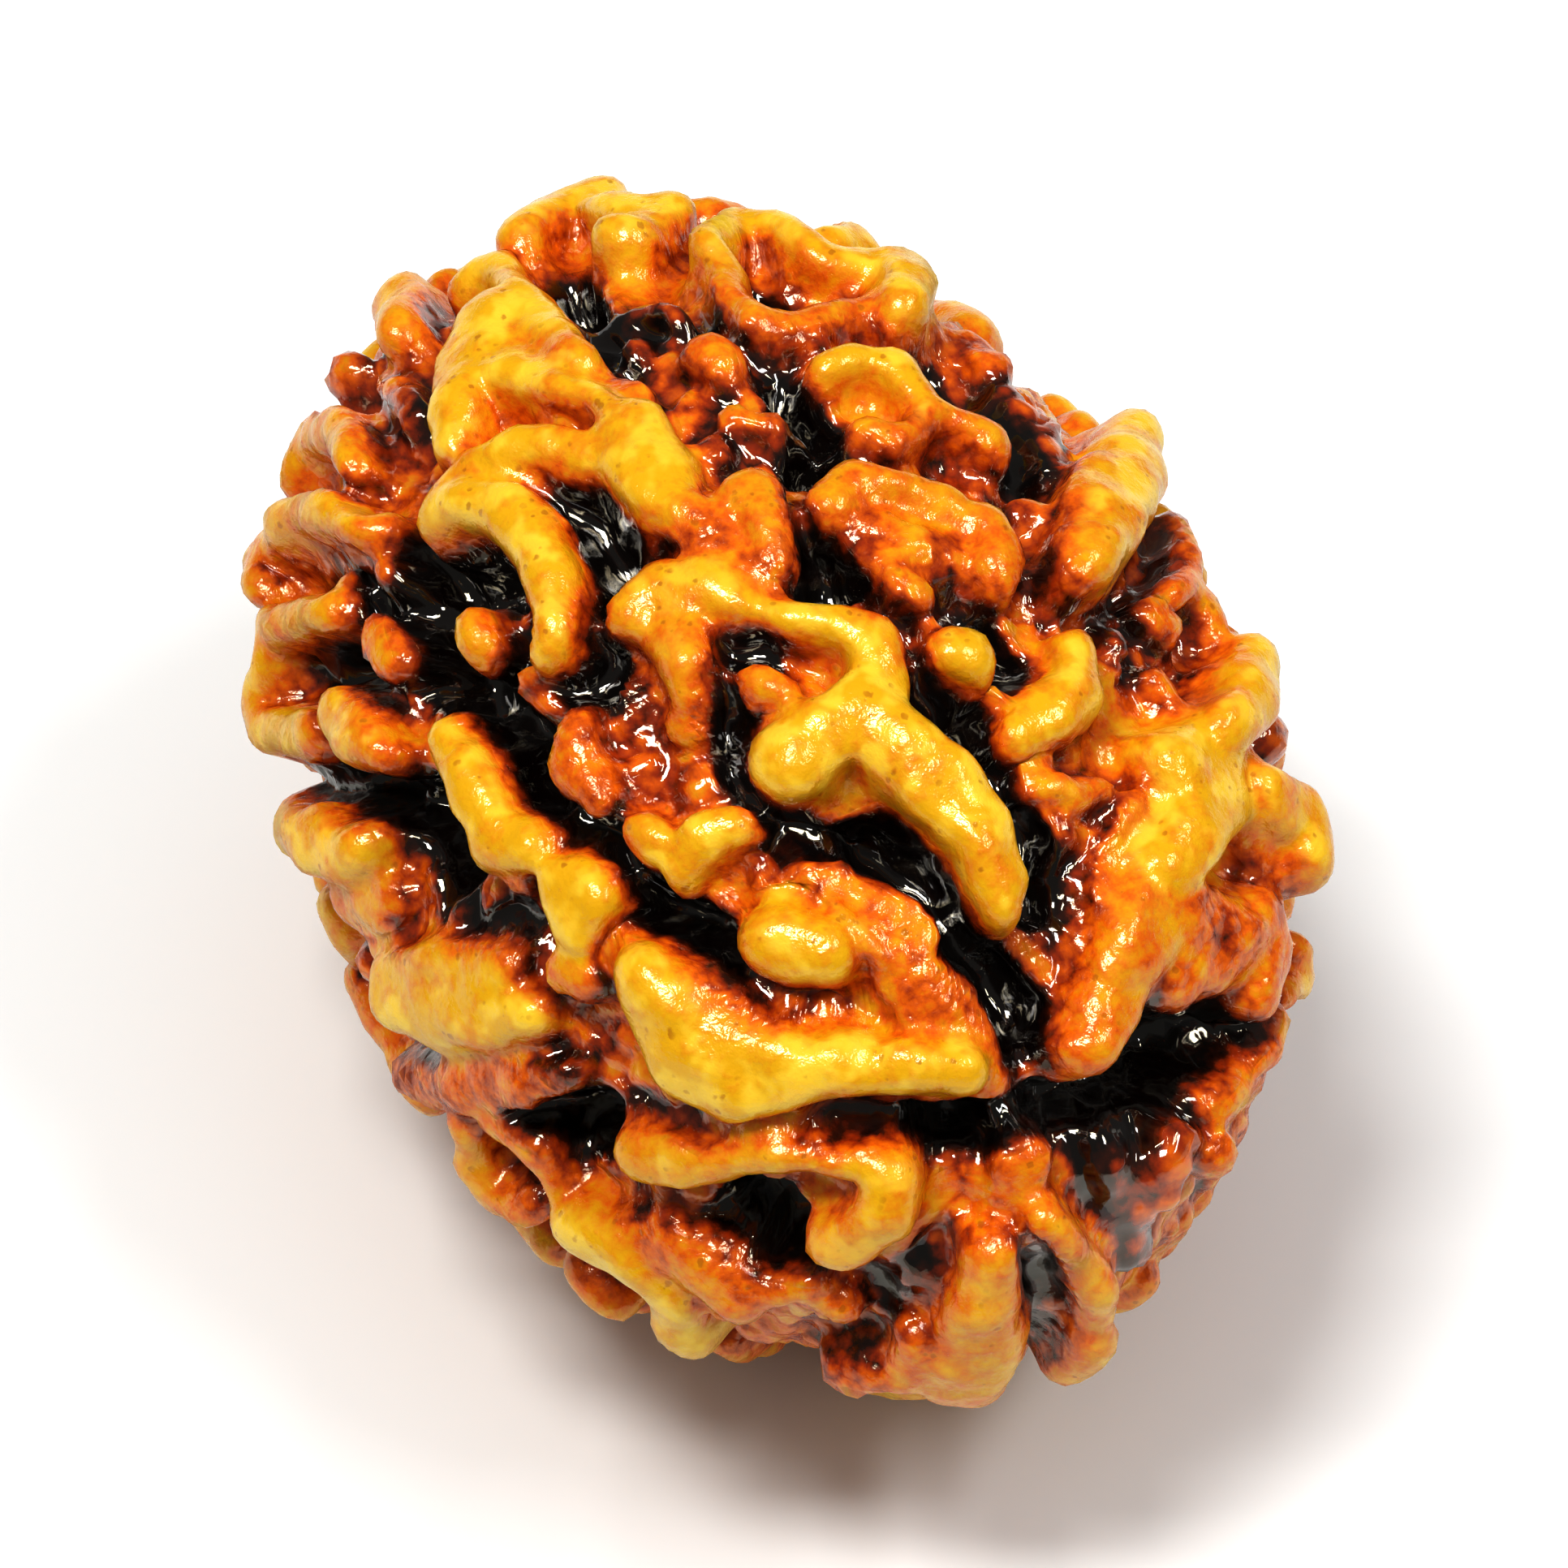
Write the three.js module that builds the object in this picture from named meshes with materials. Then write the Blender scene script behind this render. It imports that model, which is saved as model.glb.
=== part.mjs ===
// Three mukhi rudraksha bead: one grown stone, about 27 mm long and 19 mm across, lying on its side.
// +X runs along the stone towards the end where the three furrows meet, +Z is up, and the origin is
// the middle of the small flat that the stone rests on. Units are millimetres.
import * as THREE from 'three';
import { mergeVertices } from 'three/addons/utils/BufferGeometryUtils.js';

// Driving dimensions of the stone
const HALF_LENGTH = 13.4;
const HALF_WIDTH = 9.4;
const AXIS_HEIGHT = 8.9;
const VALLEY_DEPTH = 1.15;
const LOBE_DEPTH = 2.4;
const FLARE_DEPTH = 1.2;
const FLARE = 0.14;
const CAP_FLATTENING = 0.28;
const CAP_SQUARENESS = 2.5;
const FURROW_FLARE = 0.12;

// Fillets between forms, and how far from a form its distance still counts
const SPINE_BLEND = 0.12;
const LOBE_BLEND = 0.24;
const FURROW_BLEND = 0.22;
const REACH = 0.8;

// Low swells of the valley floor and of the whole skin, and the gentle bending of every lobe
const FLOOR_SWELLS = [
  { height: 0.3, frequency: 2.3, phase: 0.0 },
  { height: 0.12, frequency: 5.1, phase: 1.0 },
];
const SKIN_SWELLS = [
  { height: 0.07, frequency: 2.9, phase: 0.6 },
  { height: 0.03, frequency: 6.1, phase: 2.2 },
];
const WAVE_SHAPE = { slowness: 0.7, wander: 1.3, secondPhase: 2.1, thirdPhase: 4.2 };
const LOBE_BEND = 0.16;
const BEND_WAVES = [
  { frequency: 1.7, phase: 0.3 },
  { frequency: 1.6, phase: 1.9 },
  { frequency: 1.8, phase: 3.1 },
];

// How the photograph looks at the stone: its forms are given by their place in that picture,
// 1932 pixels square, and each is put where the line of sight through that pixel meets the stone
const VIEW_AZIMUTH = THREE.MathUtils.degToRad(65.9);
const VIEW_ELEVATION = THREE.MathUtils.degToRad(52.0);
const VIEW_DISTANCE = 170.0;
const PIXELS_PER_MM = 65.0;
const PICTURE_CENTRE = { x: 968.0, y: 975.0 };

// The side that the picture doesn't show: lobes on a golden spiral, bent and sized by a seeded draw
const HIDDEN_SEED = 3107;
const SPIRAL_LOBES = 196;
const HIDDEN_FACING = -0.04;
const HIDDEN_HALF_SPAN = { least: 0.5, most: 1.7 };
const HIDDEN_HALF_WIDTH = { least: 0.48, most: 0.9 };
const HIDDEN_RISE = 0.16;
const RIM_DROP = 0.32;
const RIM_BAND = 0.45;
const FLAT_SIDE = { right: 0.8, up: -0.6 };
const FLAT_START = 0.72;
const FLAT_DROP = 3.2;
const HIDDEN_TURN = 1.15;
const HIDDEN_BEND = 0.7;
const HIDDEN_TAPER = 0.8;
const FURROW_CLEARANCE = 0.48;
const HIDDEN_FURROW_WIDTH = 0.36;
const HIDDEN_FURROW_DEPTH = 2.3;
const FURROW_STEPS = 7;
const FURROW_SWAY = 0.1;
const STALK_SCAR_WIDTH = 0.75;

// The stone rests on the flattened tops of these lobes: place seen from above, rise, and half width
const FEET = [
  ['foot_middle', 0.0, 0.0, -0.3, 0.95],
  ['foot_near', 3.6, 2.3, 0.33, 0.8],
  ['foot_far', -3.7, 1.9, 0.25, 0.8],
  ['foot_side', 0.4, -3.0, 0.17, 0.8],
];
const FOOT_HALF_SPAN = 0.7;
const FOOT_CLEARANCE = 1.6;

// Resolution of the skin
const SKIN_DETAIL = 23;
const START_HEIGHT = 1.2;
const MARCH_STEP = 0.08;
const HALVINGS = 12;
const RELAX_ROUNDS = 30;
const RELAX_SHARE = 0.6;
const LAST_PULLS = 4;
const LEAST_STEEPNESS = 0.3;
const SLOPE_PROBE = 0.03;
const FLAT_SNAP = 0.004;

// Lobes: name, rise over the mean outer surface, and a spine of [pixel x, pixel y, half width]
const LOBES = [
  ['corner_knob', 0.30, [[492, 362, 0.66], [484, 408, 0.46]]],
  ['corner_bead', 0.35, [[420, 455, 0.46]]],
  ['corner_wall', -0.55, [[462, 430, 0.36], [500, 478, 0.40], [516, 524, 0.34]]],
  ['upper_left_lump', 0.10, [[352, 585, 0.38], [378, 540, 0.48], [425, 525, 0.46], [440, 572, 0.36]]],
  ['upper_left_crumb', -0.90, [[485, 560, 0.32], [474, 598, 0.28]]],
  ['palm', 0.10, [[606, 395, 0.72], [590, 450, 0.84], [568, 515, 0.62], [560, 548, 0.42]]],
  ['thumb', -0.05, [[620, 465, 0.58], [682, 482, 0.44], [742, 500, 0.30]]],
  ['palm_back', -0.10, [
    [572, 352, 0.42], [612, 332, 0.42], [648, 364, 0.38], [684, 412, 0.34], [722, 446, 0.30],
  ]],
  ['palm_root', -0.50, [[705, 460, 0.30], [790, 496, 0.30]]],
  ['palm_face', -0.22, [[650, 430, 0.52], [696, 452, 0.42]]],
  ['top_shelf', 0.25, [[636, 292, 0.50], [684, 256, 0.60], [730, 244, 0.56], [768, 262, 0.50]]],
  ['top_dome', 0.15, [[770, 296, 0.72], [805, 278, 0.80]]],
  ['crest', 0.10, [
    [872, 308, 0.36], [912, 278, 0.44], [955, 286, 0.42], [1000, 312, 0.40], [1055, 330, 0.42],
    [1110, 335, 0.60],
  ]],
  ['crest_end', 0.40, [[1114, 335, 0.60], [1118, 374, 0.46]]],
  ['pocket_left', -0.10, [[884, 330, 0.40], [902, 366, 0.36], [928, 400, 0.36]]],
  ['pocket_foot', -0.15, [[930, 404, 0.34], [1000, 396, 0.36], [1072, 384, 0.36], [1105, 358, 0.40]]],
  ['hollow_ledge', -0.50, [[716, 396, 0.15], [788, 372, 0.16], [850, 400, 0.16]]],
  ['hollow_knob', -0.60, [[786, 432, 0.36]]],
  ['middle_lump', -0.35, [[862, 440, 0.40], [894, 462, 0.48]]],
  ['middle_chip', -0.45, [[902, 516, 0.32], [962, 530, 0.28]]],
  ['long_oval', -0.10, [
    [1012, 452, 0.36], [1055, 446, 0.44], [1098, 454, 0.46], [1130, 480, 0.38], [1152, 504, 0.30],
  ]],
  ['right_shoulder_chip', -0.35, [[1196, 424, 0.32], [1222, 462, 0.40]]],
  ['small_saddle', -0.25, [[1060, 522, 0.36], [1100, 542, 0.32], [1136, 524, 0.34]]],
  ['shoulder_knob', -0.20, [[1165, 512, 0.30], [1215, 546, 0.52]]],
  ['shoulder_dark', -0.45, [[1240, 500, 0.42], [1278, 548, 0.42], [1296, 596, 0.36]]],
  ['crest_root', -0.55, [[1130, 414, 0.38], [1172, 420, 0.34]]],
  ['low_shoulder_knob', -0.45, [[1254, 634, 0.38]]],
  ['crumple_ridge', 0.10, [[1020, 626, 0.38], [1052, 594, 0.46], [1100, 596, 0.40]]],
  ['crumple_back', 0.00, [[1120, 600, 0.38], [1162, 618, 0.44], [1206, 650, 0.42], [1240, 698, 0.42]]],
  ['crumple_face', -0.20, [[1068, 664, 0.56], [1112, 704, 0.56], [1160, 690, 0.40]]],
  ['crumple_step', -0.12, [[1086, 648, 0.30], [1110, 672, 0.28]]],
  ['crumple_foot', -0.02, [[1100, 722, 0.32], [1136, 734, 0.34]]],
  ['crumple_heel', 0.05, [[1214, 692, 0.40], [1238, 714, 0.36]]],
  ['ear', 0.52, [[1396, 534, 0.56], [1390, 588, 0.76], [1368, 644, 0.72], [1348, 692, 0.50]]],
  ['ear_rim', 0.30, [[1354, 560, 0.24], [1326, 620, 0.26], [1318, 674, 0.26], [1330, 716, 0.26]]],
  ['second_ear', 0.05, [[1452, 642, 0.32], [1462, 690, 0.34], [1452, 735, 0.32]]],
  ['second_ear_lump', -0.10, [[1472, 748, 0.42], [1490, 776, 0.38]]],
  ['flank_chip', -0.50, [[1405, 764, 0.36], [1430, 790, 0.30]]],
  ['flank_step', -0.80, [[1336, 742, 0.34]]],
  ['bean', 0.60, [[1552, 808, 0.46], [1540, 850, 0.62], [1514, 895, 0.50]]],
  ['leaf_ridge', -0.45, [[1424, 834, 0.32], [1446, 876, 0.33]]],
  ['right_head', 0.15, [
    [1440, 945, 0.72], [1486, 932, 0.72], [1488, 980, 0.80], [1458, 1034, 0.68], [1436, 1064, 0.52],
  ]],
  ['edge_bulge', 0.55, [[1568, 985, 0.50], [1598, 1012, 0.72], [1606, 1060, 0.58]]],
  ['edge_back', -0.20, [[1586, 910, 0.50]]],
  ['edge_joint', -0.20, [[1524, 1010, 0.60], [1546, 1070, 0.62]]],
  ['star', 0.00, [[1548, 1120, 0.48], [1556, 1180, 0.62], [1548, 1222, 0.55]]],
  ['star_slope', -0.16, [[1442, 1130, 0.84], [1492, 1160, 0.86], [1540, 1150, 0.80], [1452, 1205, 0.60]]],
  ['edge_sliver', -0.30, [[1598, 1165, 0.28], [1604, 1200, 0.30], [1590, 1240, 0.28]]],
  ['hanging_ridge', -0.20, [
    [1584, 1246, 0.26], [1560, 1300, 0.32], [1524, 1342, 0.36], [1490, 1366, 0.34],
  ]],
  ['hanging_knob', 0.15, [[1500, 1430, 0.48]]],
  ['gate_lobe', -0.08, [[1412, 1110, 0.68], [1392, 1170, 0.72], [1360, 1240, 0.68], [1330, 1296, 0.50]]],
  ['gate_crest', -0.45, [[1392, 985, 0.20], [1370, 1040, 0.20], [1354, 1100, 0.20], [1356, 1155, 0.24]]],
  ['gate_wall', -0.95, [[1330, 1065, 0.34], [1326, 1120, 0.34], [1330, 1180, 0.38], [1336, 1235, 0.40]]],
  ['bank_crest', -0.40, [[1268, 976, 0.22], [1300, 966, 0.24], [1330, 985, 0.24], [1364, 972, 0.24]]],
  ['bank_fork', -0.75, [[1282, 990, 0.18], [1312, 1036, 0.18], [1292, 1066, 0.18]]],
  ['kidney', -0.10, [[1320, 806, 0.50], [1324, 848, 0.60], [1292, 884, 0.60], [1254, 904, 0.46]]],
  ['pebble_egg', -0.05, [[1174, 802, 0.50], [1200, 814, 0.52]]],
  ['kidney_chip', -0.60, [[1376, 792, 0.30]]],
  ['hook_chip', -0.15, [[936, 838, 0.42], [962, 846, 0.36]]],
  ['hook', 0.20, [
    [982, 935, 0.84], [1020, 900, 0.62], [1060, 880, 0.72], [1112, 925, 0.74], [1160, 968, 0.74],
    [1205, 1025, 0.62], [1232, 1086, 0.50], [1240, 1126, 0.38],
  ]],
  ['hook_arm', 0.00, [[962, 756, 0.30], [1022, 762, 0.36], [1076, 792, 0.50], [1082, 850, 0.60]]],
  ['channel_pea', -0.22, [[796, 1030, 0.42], [808, 1040, 0.42]]],
  ['channel_bean', -0.20, [[908, 1022, 0.44], [868, 1046, 0.54], [842, 1078, 0.40]]],
  ['channel_egg', 0.15, [[948, 1162, 0.64], [1010, 1172, 0.62]]],
  ['terrace_rim', -0.60, [
    [940, 1084, 0.16], [984, 1070, 0.18], [1030, 1072, 0.20], [1072, 1100, 0.24], [1116, 1118, 0.28],
    [1146, 1162, 0.30],
  ]],
  ['terrace', -0.42, [
    [1080, 1150, 0.58], [1120, 1200, 0.62], [1155, 1245, 0.66], [1190, 1290, 0.62], [1214, 1328, 0.48],
  ]],
  ['terrace_crest', -0.25, [[1010, 1088, 0.12], [1048, 1130, 0.12], [1088, 1186, 0.12]]],
  ['boot', 0.20, [
    [798, 1200, 0.62], [828, 1252, 0.84], [866, 1300, 0.98], [912, 1316, 0.94], [965, 1318, 0.78],
    [1040, 1312, 0.60], [1110, 1312, 0.52], [1180, 1318, 0.58],
  ]],
  ['boot_back', 0.05, [[846, 1222, 0.56], [900, 1262, 0.62], [960, 1288, 0.52]]],
  ['block', 0.00, [[700, 1098, 0.58], [736, 1100, 0.58], [718, 1132, 0.60]]],
  ['block_wedge', -0.25, [[702, 1192, 0.46], [734, 1208, 0.44]]],
  ['left_sill', 0.05, [[500, 1226, 0.72], [556, 1236, 0.90], [612, 1242, 0.80], [650, 1248, 0.46]]],
  ['left_sill_fold', -0.10, [[476, 1196, 0.36], [540, 1180, 0.36], [620, 1184, 0.34]]],
  ['left_brown_fold', -0.15, [[510, 1322, 0.46], [580, 1334, 0.52], [650, 1334, 0.46], [702, 1322, 0.36]]],
  ['fold_pea', -0.65, [[722, 1312, 0.34]]],
  ['lower_left_ring', 0.05, [[572, 1390, 0.44], [584, 1432, 0.40], [618, 1478, 0.38], [652, 1494, 0.34]]],
  ['lower_left_bar', -0.15, [[612, 1388, 0.34], [660, 1422, 0.32], [684, 1462, 0.30]]],
  ['finger', -0.10, [
    [788, 1420, 0.55], [842, 1428, 0.46], [902, 1432, 0.36], [962, 1430, 0.30], [1010, 1426, 0.28],
    [1060, 1430, 0.34],
  ]],
  ['paw', 0.20, [
    [714, 1514, 0.54], [772, 1542, 0.55], [828, 1592, 0.62], [848, 1632, 0.60], [858, 1654, 0.42],
  ]],
  ['paw_web', -0.20, [[900, 1612, 0.34], [960, 1592, 0.26], [1000, 1588, 0.26]]],
  ['paw_back', 0.00, [[712, 1588, 0.50], [752, 1618, 0.40]]],
  ['paw_face', -0.05, [[796, 1524, 0.66], [856, 1548, 0.70], [912, 1578, 0.54]]],
  ['lower_boot', 0.05, [[1096, 1450, 0.62], [1090, 1490, 0.62], [1046, 1526, 0.55], [1010, 1545, 0.38]]],
  ['wedge_lump', -0.50, [[1236, 1436, 0.42], [1282, 1424, 0.30], [1250, 1464, 0.32]]],
  ['keel', 0.15, [[1226, 1546, 0.52], [1214, 1600, 0.70], [1198, 1652, 0.98], [1188, 1690, 0.84]]],
  ['keel_side', 0.00, [[1132, 1656, 0.42], [1126, 1688, 0.42]]],
  ['keel_back', 0.00, [[1030, 1690, 0.40], [1082, 1690, 0.38]]],
  ['low_fold', -0.35, [[1002, 1592, 0.30], [1042, 1616, 0.33]]],
  ['crescent', 0.05, [
    [1290, 1500, 0.36], [1326, 1532, 0.36], [1346, 1590, 0.40], [1346, 1650, 0.40], [1310, 1690, 0.36],
  ]],
  ['right_fibres', -0.60, [[1366, 1424, 0.58], [1384, 1482, 0.56], [1382, 1530, 0.46]]],
  ['right_low_lobe', -0.20, [[1442, 1408, 0.48], [1430, 1460, 0.46]]],
  ['valley_fibres', -1.00, [[1140, 1556, 0.55], [1112, 1620, 0.48]]],
  ['left_arch', 0.30, [
    [324, 728, 0.36], [326, 686, 0.40], [356, 646, 0.44], [402, 632, 0.42], [440, 654, 0.36],
  ]],
  ['left_finger', 0.20, [[334, 776, 0.40], [370, 762, 0.42], [402, 752, 0.38]]],
  ['left_crumb_a', -0.30, [[432, 732, 0.40]]],
  ['left_crumb_b', -0.50, [[484, 716, 0.34]]],
  ['left_wedge', -0.20, [[468, 778, 0.44], [488, 814, 0.44]]],
  ['left_column', 0.25, [[328, 806, 0.34], [324, 860, 0.40], [334, 904, 0.45]]],
  ['pale_lobe', 0.15, [[346, 902, 0.54], [386, 912, 0.44]]],
  ['glossy_bean', 0.05, [[420, 870, 0.52], [448, 902, 0.60], [474, 934, 0.42]]],
  ['lower_left_cheek', 0.25, [[362, 1014, 0.55], [402, 1040, 0.64], [440, 1050, 0.50]]],
  ['left_jaw', -0.20, [[432, 1110, 0.45], [482, 1112, 0.50]]],
  ['left_jaw_brown', -0.40, [[474, 1160, 0.40]]],
  ['left_edge_fill', -0.10, [[450, 1192, 0.44]]],
  ['long_ridge', 0.00, [
    [544, 905, 0.36], [575, 946, 0.46], [600, 992, 0.58], [618, 1034, 0.66], [656, 1046, 0.46],
  ]],
  ['ridge_foot', -0.45, [[644, 1090, 0.34]]],
  ['ridge_wedge', -0.60, [[568, 1100, 0.28], [562, 1140, 0.22]]],
  ['ridge_red', -0.60, [[672, 1050, 0.36]]],
  ['arch_ridge', -0.05, [
    [546, 612, 0.30], [590, 572, 0.36], [640, 554, 0.40], [702, 562, 0.42], [750, 560, 0.50],
  ]],
  ['left_hook', 0.15, [
    [530, 645, 0.46], [575, 622, 0.50], [625, 630, 0.52], [660, 664, 0.58], [680, 712, 0.60],
    [690, 762, 0.46], [676, 806, 0.38],
  ]],
  ['left_hook_foot', -0.15, [[480, 655, 0.46]]],
  ['pit_egg', 0.00, [[584, 768, 0.44], [590, 796, 0.46]]],
  ['pit_chip', -0.45, [[652, 838, 0.34]]],
  ['centre_mass', 0.02, [[776, 540, 0.72], [800, 590, 0.86], [842, 634, 0.62]]],
  ['centre_gloss', -0.60, [[882, 562, 0.40]]],
  ['flat_knob', 0.00, [[930, 615, 0.60], [946, 655, 0.48], [960, 690, 0.30]]],
  ['centre_ramp', -0.18, [[816, 632, 0.50], [868, 668, 0.60], [920, 704, 0.52], [956, 748, 0.34]]],
  ['triangle_brow', 0.00, [[762, 760, 0.36], [818, 732, 0.60], [872, 726, 0.60], [924, 742, 0.46]]],
  ['triangle_foot', -0.08, [[836, 768, 0.80], [850, 820, 0.56], [848, 852, 0.32]]],
  ['button', -0.50, [[848, 892, 0.42]]],
  ['rough_lump', -0.25, [[716, 902, 0.44], [720, 948, 0.60], [746, 986, 0.48]]],
  ['bubble_a', -0.95, [[796, 956, 0.26]]],
  ['bubble_b', -0.95, [[860, 972, 0.30]]],
];

// Furrows and pits: name, depth of the floor, and a path of [pixel x, pixel y, half width]
const FURROWS = [
  ['black_line', 2.30, [
    [470, 752, 0.39], [540, 842, 0.44], [580, 880, 0.42], [630, 905, 0.39], [665, 970, 0.39],
    [712, 1030, 0.36], [776, 1088, 0.34], [854, 1146, 0.39], [898, 1196, 0.39], [990, 1248, 0.34],
    [1040, 1282, 0.21],
  ]],
  ['upper_furrow', 2.30, [
    [1262, 1240, 0.55], [1216, 1184, 0.49], [1150, 1100, 0.55], [1080, 1032, 0.60], [990, 1040, 0.36],
    [930, 985, 0.36],
  ]],
  ['left_furrow', 2.50, [
    [1284, 1366, 0.36], [1150, 1385, 0.39], [1000, 1392, 0.36], [880, 1400, 0.29], [760, 1385, 0.39],
    [690, 1395, 0.59],
  ]],
  ['left_gap', 2.40, [
    [335, 956, 0.26], [400, 962, 0.31], [470, 970, 0.44], [515, 1020, 0.60], [540, 1090, 0.34],
    [560, 1170, 0.34], [610, 1140, 0.31],
  ]],
  ['right_furrow', 2.50, [
    [1284, 1366, 0.39], [1350, 1345, 0.31], [1400, 1310, 0.65], [1450, 1290, 0.68], [1520, 1278, 0.44],
    [1556, 1276, 0.21],
  ]],
  ['keel_gap', 2.20, [[1284, 1540, 0.26], [1288, 1600, 0.34], [1282, 1660, 0.29]]],
  ['paw_hollow', 2.40, [[900, 1500, 0.52], [950, 1520, 0.62], [940, 1560, 0.39]]],
  ['ring_pit', 1.60, [[640, 1446, 0.39]]],
  ['side_pit', 1.80, [[650, 1385, 0.26], [700, 1400, 0.44]]],
  ['hook_hollow', 2.30, [[908, 800, 0.42], [908, 860, 0.34], [905, 930, 0.30]]],
  ['left_pit', 2.30, [[390, 695, 0.42], [440, 700, 0.30], [560, 700, 0.56], [610, 720, 0.54]]],
  ['left_low_pit', 2.20, [[380, 822, 0.47], [440, 838, 0.36]]],
  ['black_bay', 2.30, [[640, 610, 0.18], [735, 640, 0.34], [742, 700, 0.36], [716, 830, 0.39]]],
  ['top_hollow', 2.30, [[692, 322, 0.34], [704, 356, 0.40], [718, 394, 0.34], [744, 426, 0.26]]],
  ['pocket', 1.70, [[930, 338, 0.36], [975, 356, 0.34]]],
  ['round_hole', 2.20, [[1010, 556, 0.52]]],
  ['wall_hole', 2.30, [[1018, 690, 0.57]]],
  ['shoulder_gap', 2.00, [[1160, 440, 0.26], [1190, 480, 0.34]]],
  ['kidney_channel', 2.00, [[1176, 880, 0.26], [1222, 950, 0.23], [1270, 1030, 0.29], [1286, 1100, 0.23]]],
  ['egg_ring', 1.90, [
    [1130, 836, 0.16], [1190, 872, 0.18], [1250, 852, 0.18], [1256, 796, 0.16], [1212, 758, 0.16],
    [1146, 756, 0.16],
  ]],
  ['pea_ring', 1.90, [[892, 1136, 0.13], [940, 1108, 0.12], [1010, 1104, 0.13], [1066, 1150, 0.14]]],
  ['pit_ring', 2.20, [[530, 760, 0.16], [548, 830, 0.16], [610, 842, 0.16], [640, 780, 0.14]]],
  ['oval_gap', 2.00, [[965, 450, 0.23], [985, 490, 0.31], [1020, 510, 0.21]]],
];

// Where the three furrows meet, and where each leaves the picture round the rim of the stone
const MEETING_PIXEL = { x: 1290, y: 1355 };
const FURROW_EXITS = [
  ['left_furrow_back', 318, 955],
  ['right_furrow_back', 1566, 1278],
  ['upper_furrow_back', 722, 236],
];

const towardsViewer = new THREE.Vector3(
  Math.sin(VIEW_AZIMUTH) * Math.cos(VIEW_ELEVATION),
  -Math.cos(VIEW_AZIMUTH) * Math.cos(VIEW_ELEVATION),
  Math.sin(VIEW_ELEVATION),
);
const pictureRight = new THREE.Vector3(Math.cos(VIEW_AZIMUTH), Math.sin(VIEW_AZIMUTH), 0);
const pictureUp = new THREE.Vector3().crossVectors(towardsViewer, pictureRight);
const viewer = towardsViewer.clone().multiplyScalar(VIEW_DISTANCE);
const flatSide = pictureRight.clone().multiplyScalar(FLAT_SIDE.right);
flatSide.addScaledVector(pictureUp, FLAT_SIDE.up).normalize();

// Blends two distances with a round fillet of the given width
function smoothUnion(first, second, blend) {
  const overlap = Math.max(blend - Math.abs(first - second), 0) / blend;
  return Math.min(first, second) - overlap * overlap * blend * 0.25;
}

function smoothCut(body, tool, blend) {
  return -smoothUnion(-body, tool, blend);
}

// A wandering wave between -1 and 1, the same in every direction on average
function wave(x, y, z, frequency, phase) {
  const { slowness, wander, secondPhase, thirdPhase } = WAVE_SHAPE;
  const slow = slowness * frequency;
  return (
    Math.sin(frequency * x + wander * Math.sin(slow * y + phase) + phase) *
    Math.sin(frequency * y + wander * Math.sin(slow * z + 2 * phase) + secondPhase) *
    Math.sin(frequency * z + wander * Math.sin(slow * x) + thirdPhase + phase)
  );
}

// Semi-axes of the smooth envelope at a depth under the mean outer surface
function envelope(depth) {
  return new THREE.Vector3(HALF_LENGTH - depth, HALF_WIDTH - depth, HALF_WIDTH - depth);
}

function outwardNormal(point) {
  const axes = envelope(0);
  return point.clone().divide(axes).divide(axes).normalize();
}

function onEnvelope(direction, depth) {
  const axes = envelope(depth);
  return direction.clone().multiplyScalar(1 / direction.clone().divide(axes).length());
}

// The point of the envelope that shows at a pixel, or its rim where the line of sight misses it
function seenPoint(pixelX, pixelY, depth) {
  const axes = envelope(depth);
  const sight = pictureRight.clone().multiplyScalar((pixelX - PICTURE_CENTRE.x) / PIXELS_PER_MM);
  sight.addScaledVector(pictureUp, -(pixelY - PICTURE_CENTRE.y) / PIXELS_PER_MM);
  sight.addScaledVector(towardsViewer, -VIEW_DISTANCE);
  const start = viewer.clone().divide(axes);
  const run = sight.clone().divide(axes);
  const square = run.lengthSq();
  const middle = start.dot(run);
  const root = Math.sqrt(Math.max(middle * middle - square * (start.lengthSq() - 1), 0));
  const point = viewer.clone().addScaledVector(sight, (-middle - root) / square);
  return onEnvelope(point, depth);
}

// Height of a lobe's rounded top over its spine: wide lobes are flatter
function capHeight(halfWidth) {
  return halfWidth * (1 - CAP_FLATTENING * halfWidth);
}

function spineNode(place, halfWidth) {
  return { place, normal: outwardNormal(place), halfWidth, cap: capHeight(halfWidth) };
}

// Joins spine nodes into a form with a ball round it that tells when it is too far to matter
function makeForm(name, nodes, depth) {
  const ball = new THREE.Sphere().setFromPoints(nodes.map((node) => node.place));
  const widest = Math.max(...nodes.map((node) => node.halfWidth));
  ball.radius += depth + widest * (1 + FLARE) + REACH;
  const last = Math.max(nodes.length - 1, 1);
  const spans = [];
  for (let i = 0; i < last; i += 1) {
    spans.push([nodes[i], nodes[Math.min(i + 1, nodes.length - 1)]]);
  }
  return { name, ball, spans };
}

function lobeFromPicture([name, rise, spine]) {
  const nodes = spine.map(([x, y, halfWidth]) =>
    spineNode(seenPoint(x, y, capHeight(halfWidth) - rise), halfWidth),
  );
  return makeForm(name, nodes, LOBE_DEPTH);
}

function lobeFromDirections(name, rise, directions, halfWidths) {
  const nodes = directions.map((direction, i) =>
    spineNode(onEnvelope(direction, capHeight(halfWidths[i]) - rise), halfWidths[i]),
  );
  return makeForm(name, nodes, LOBE_DEPTH);
}

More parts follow.
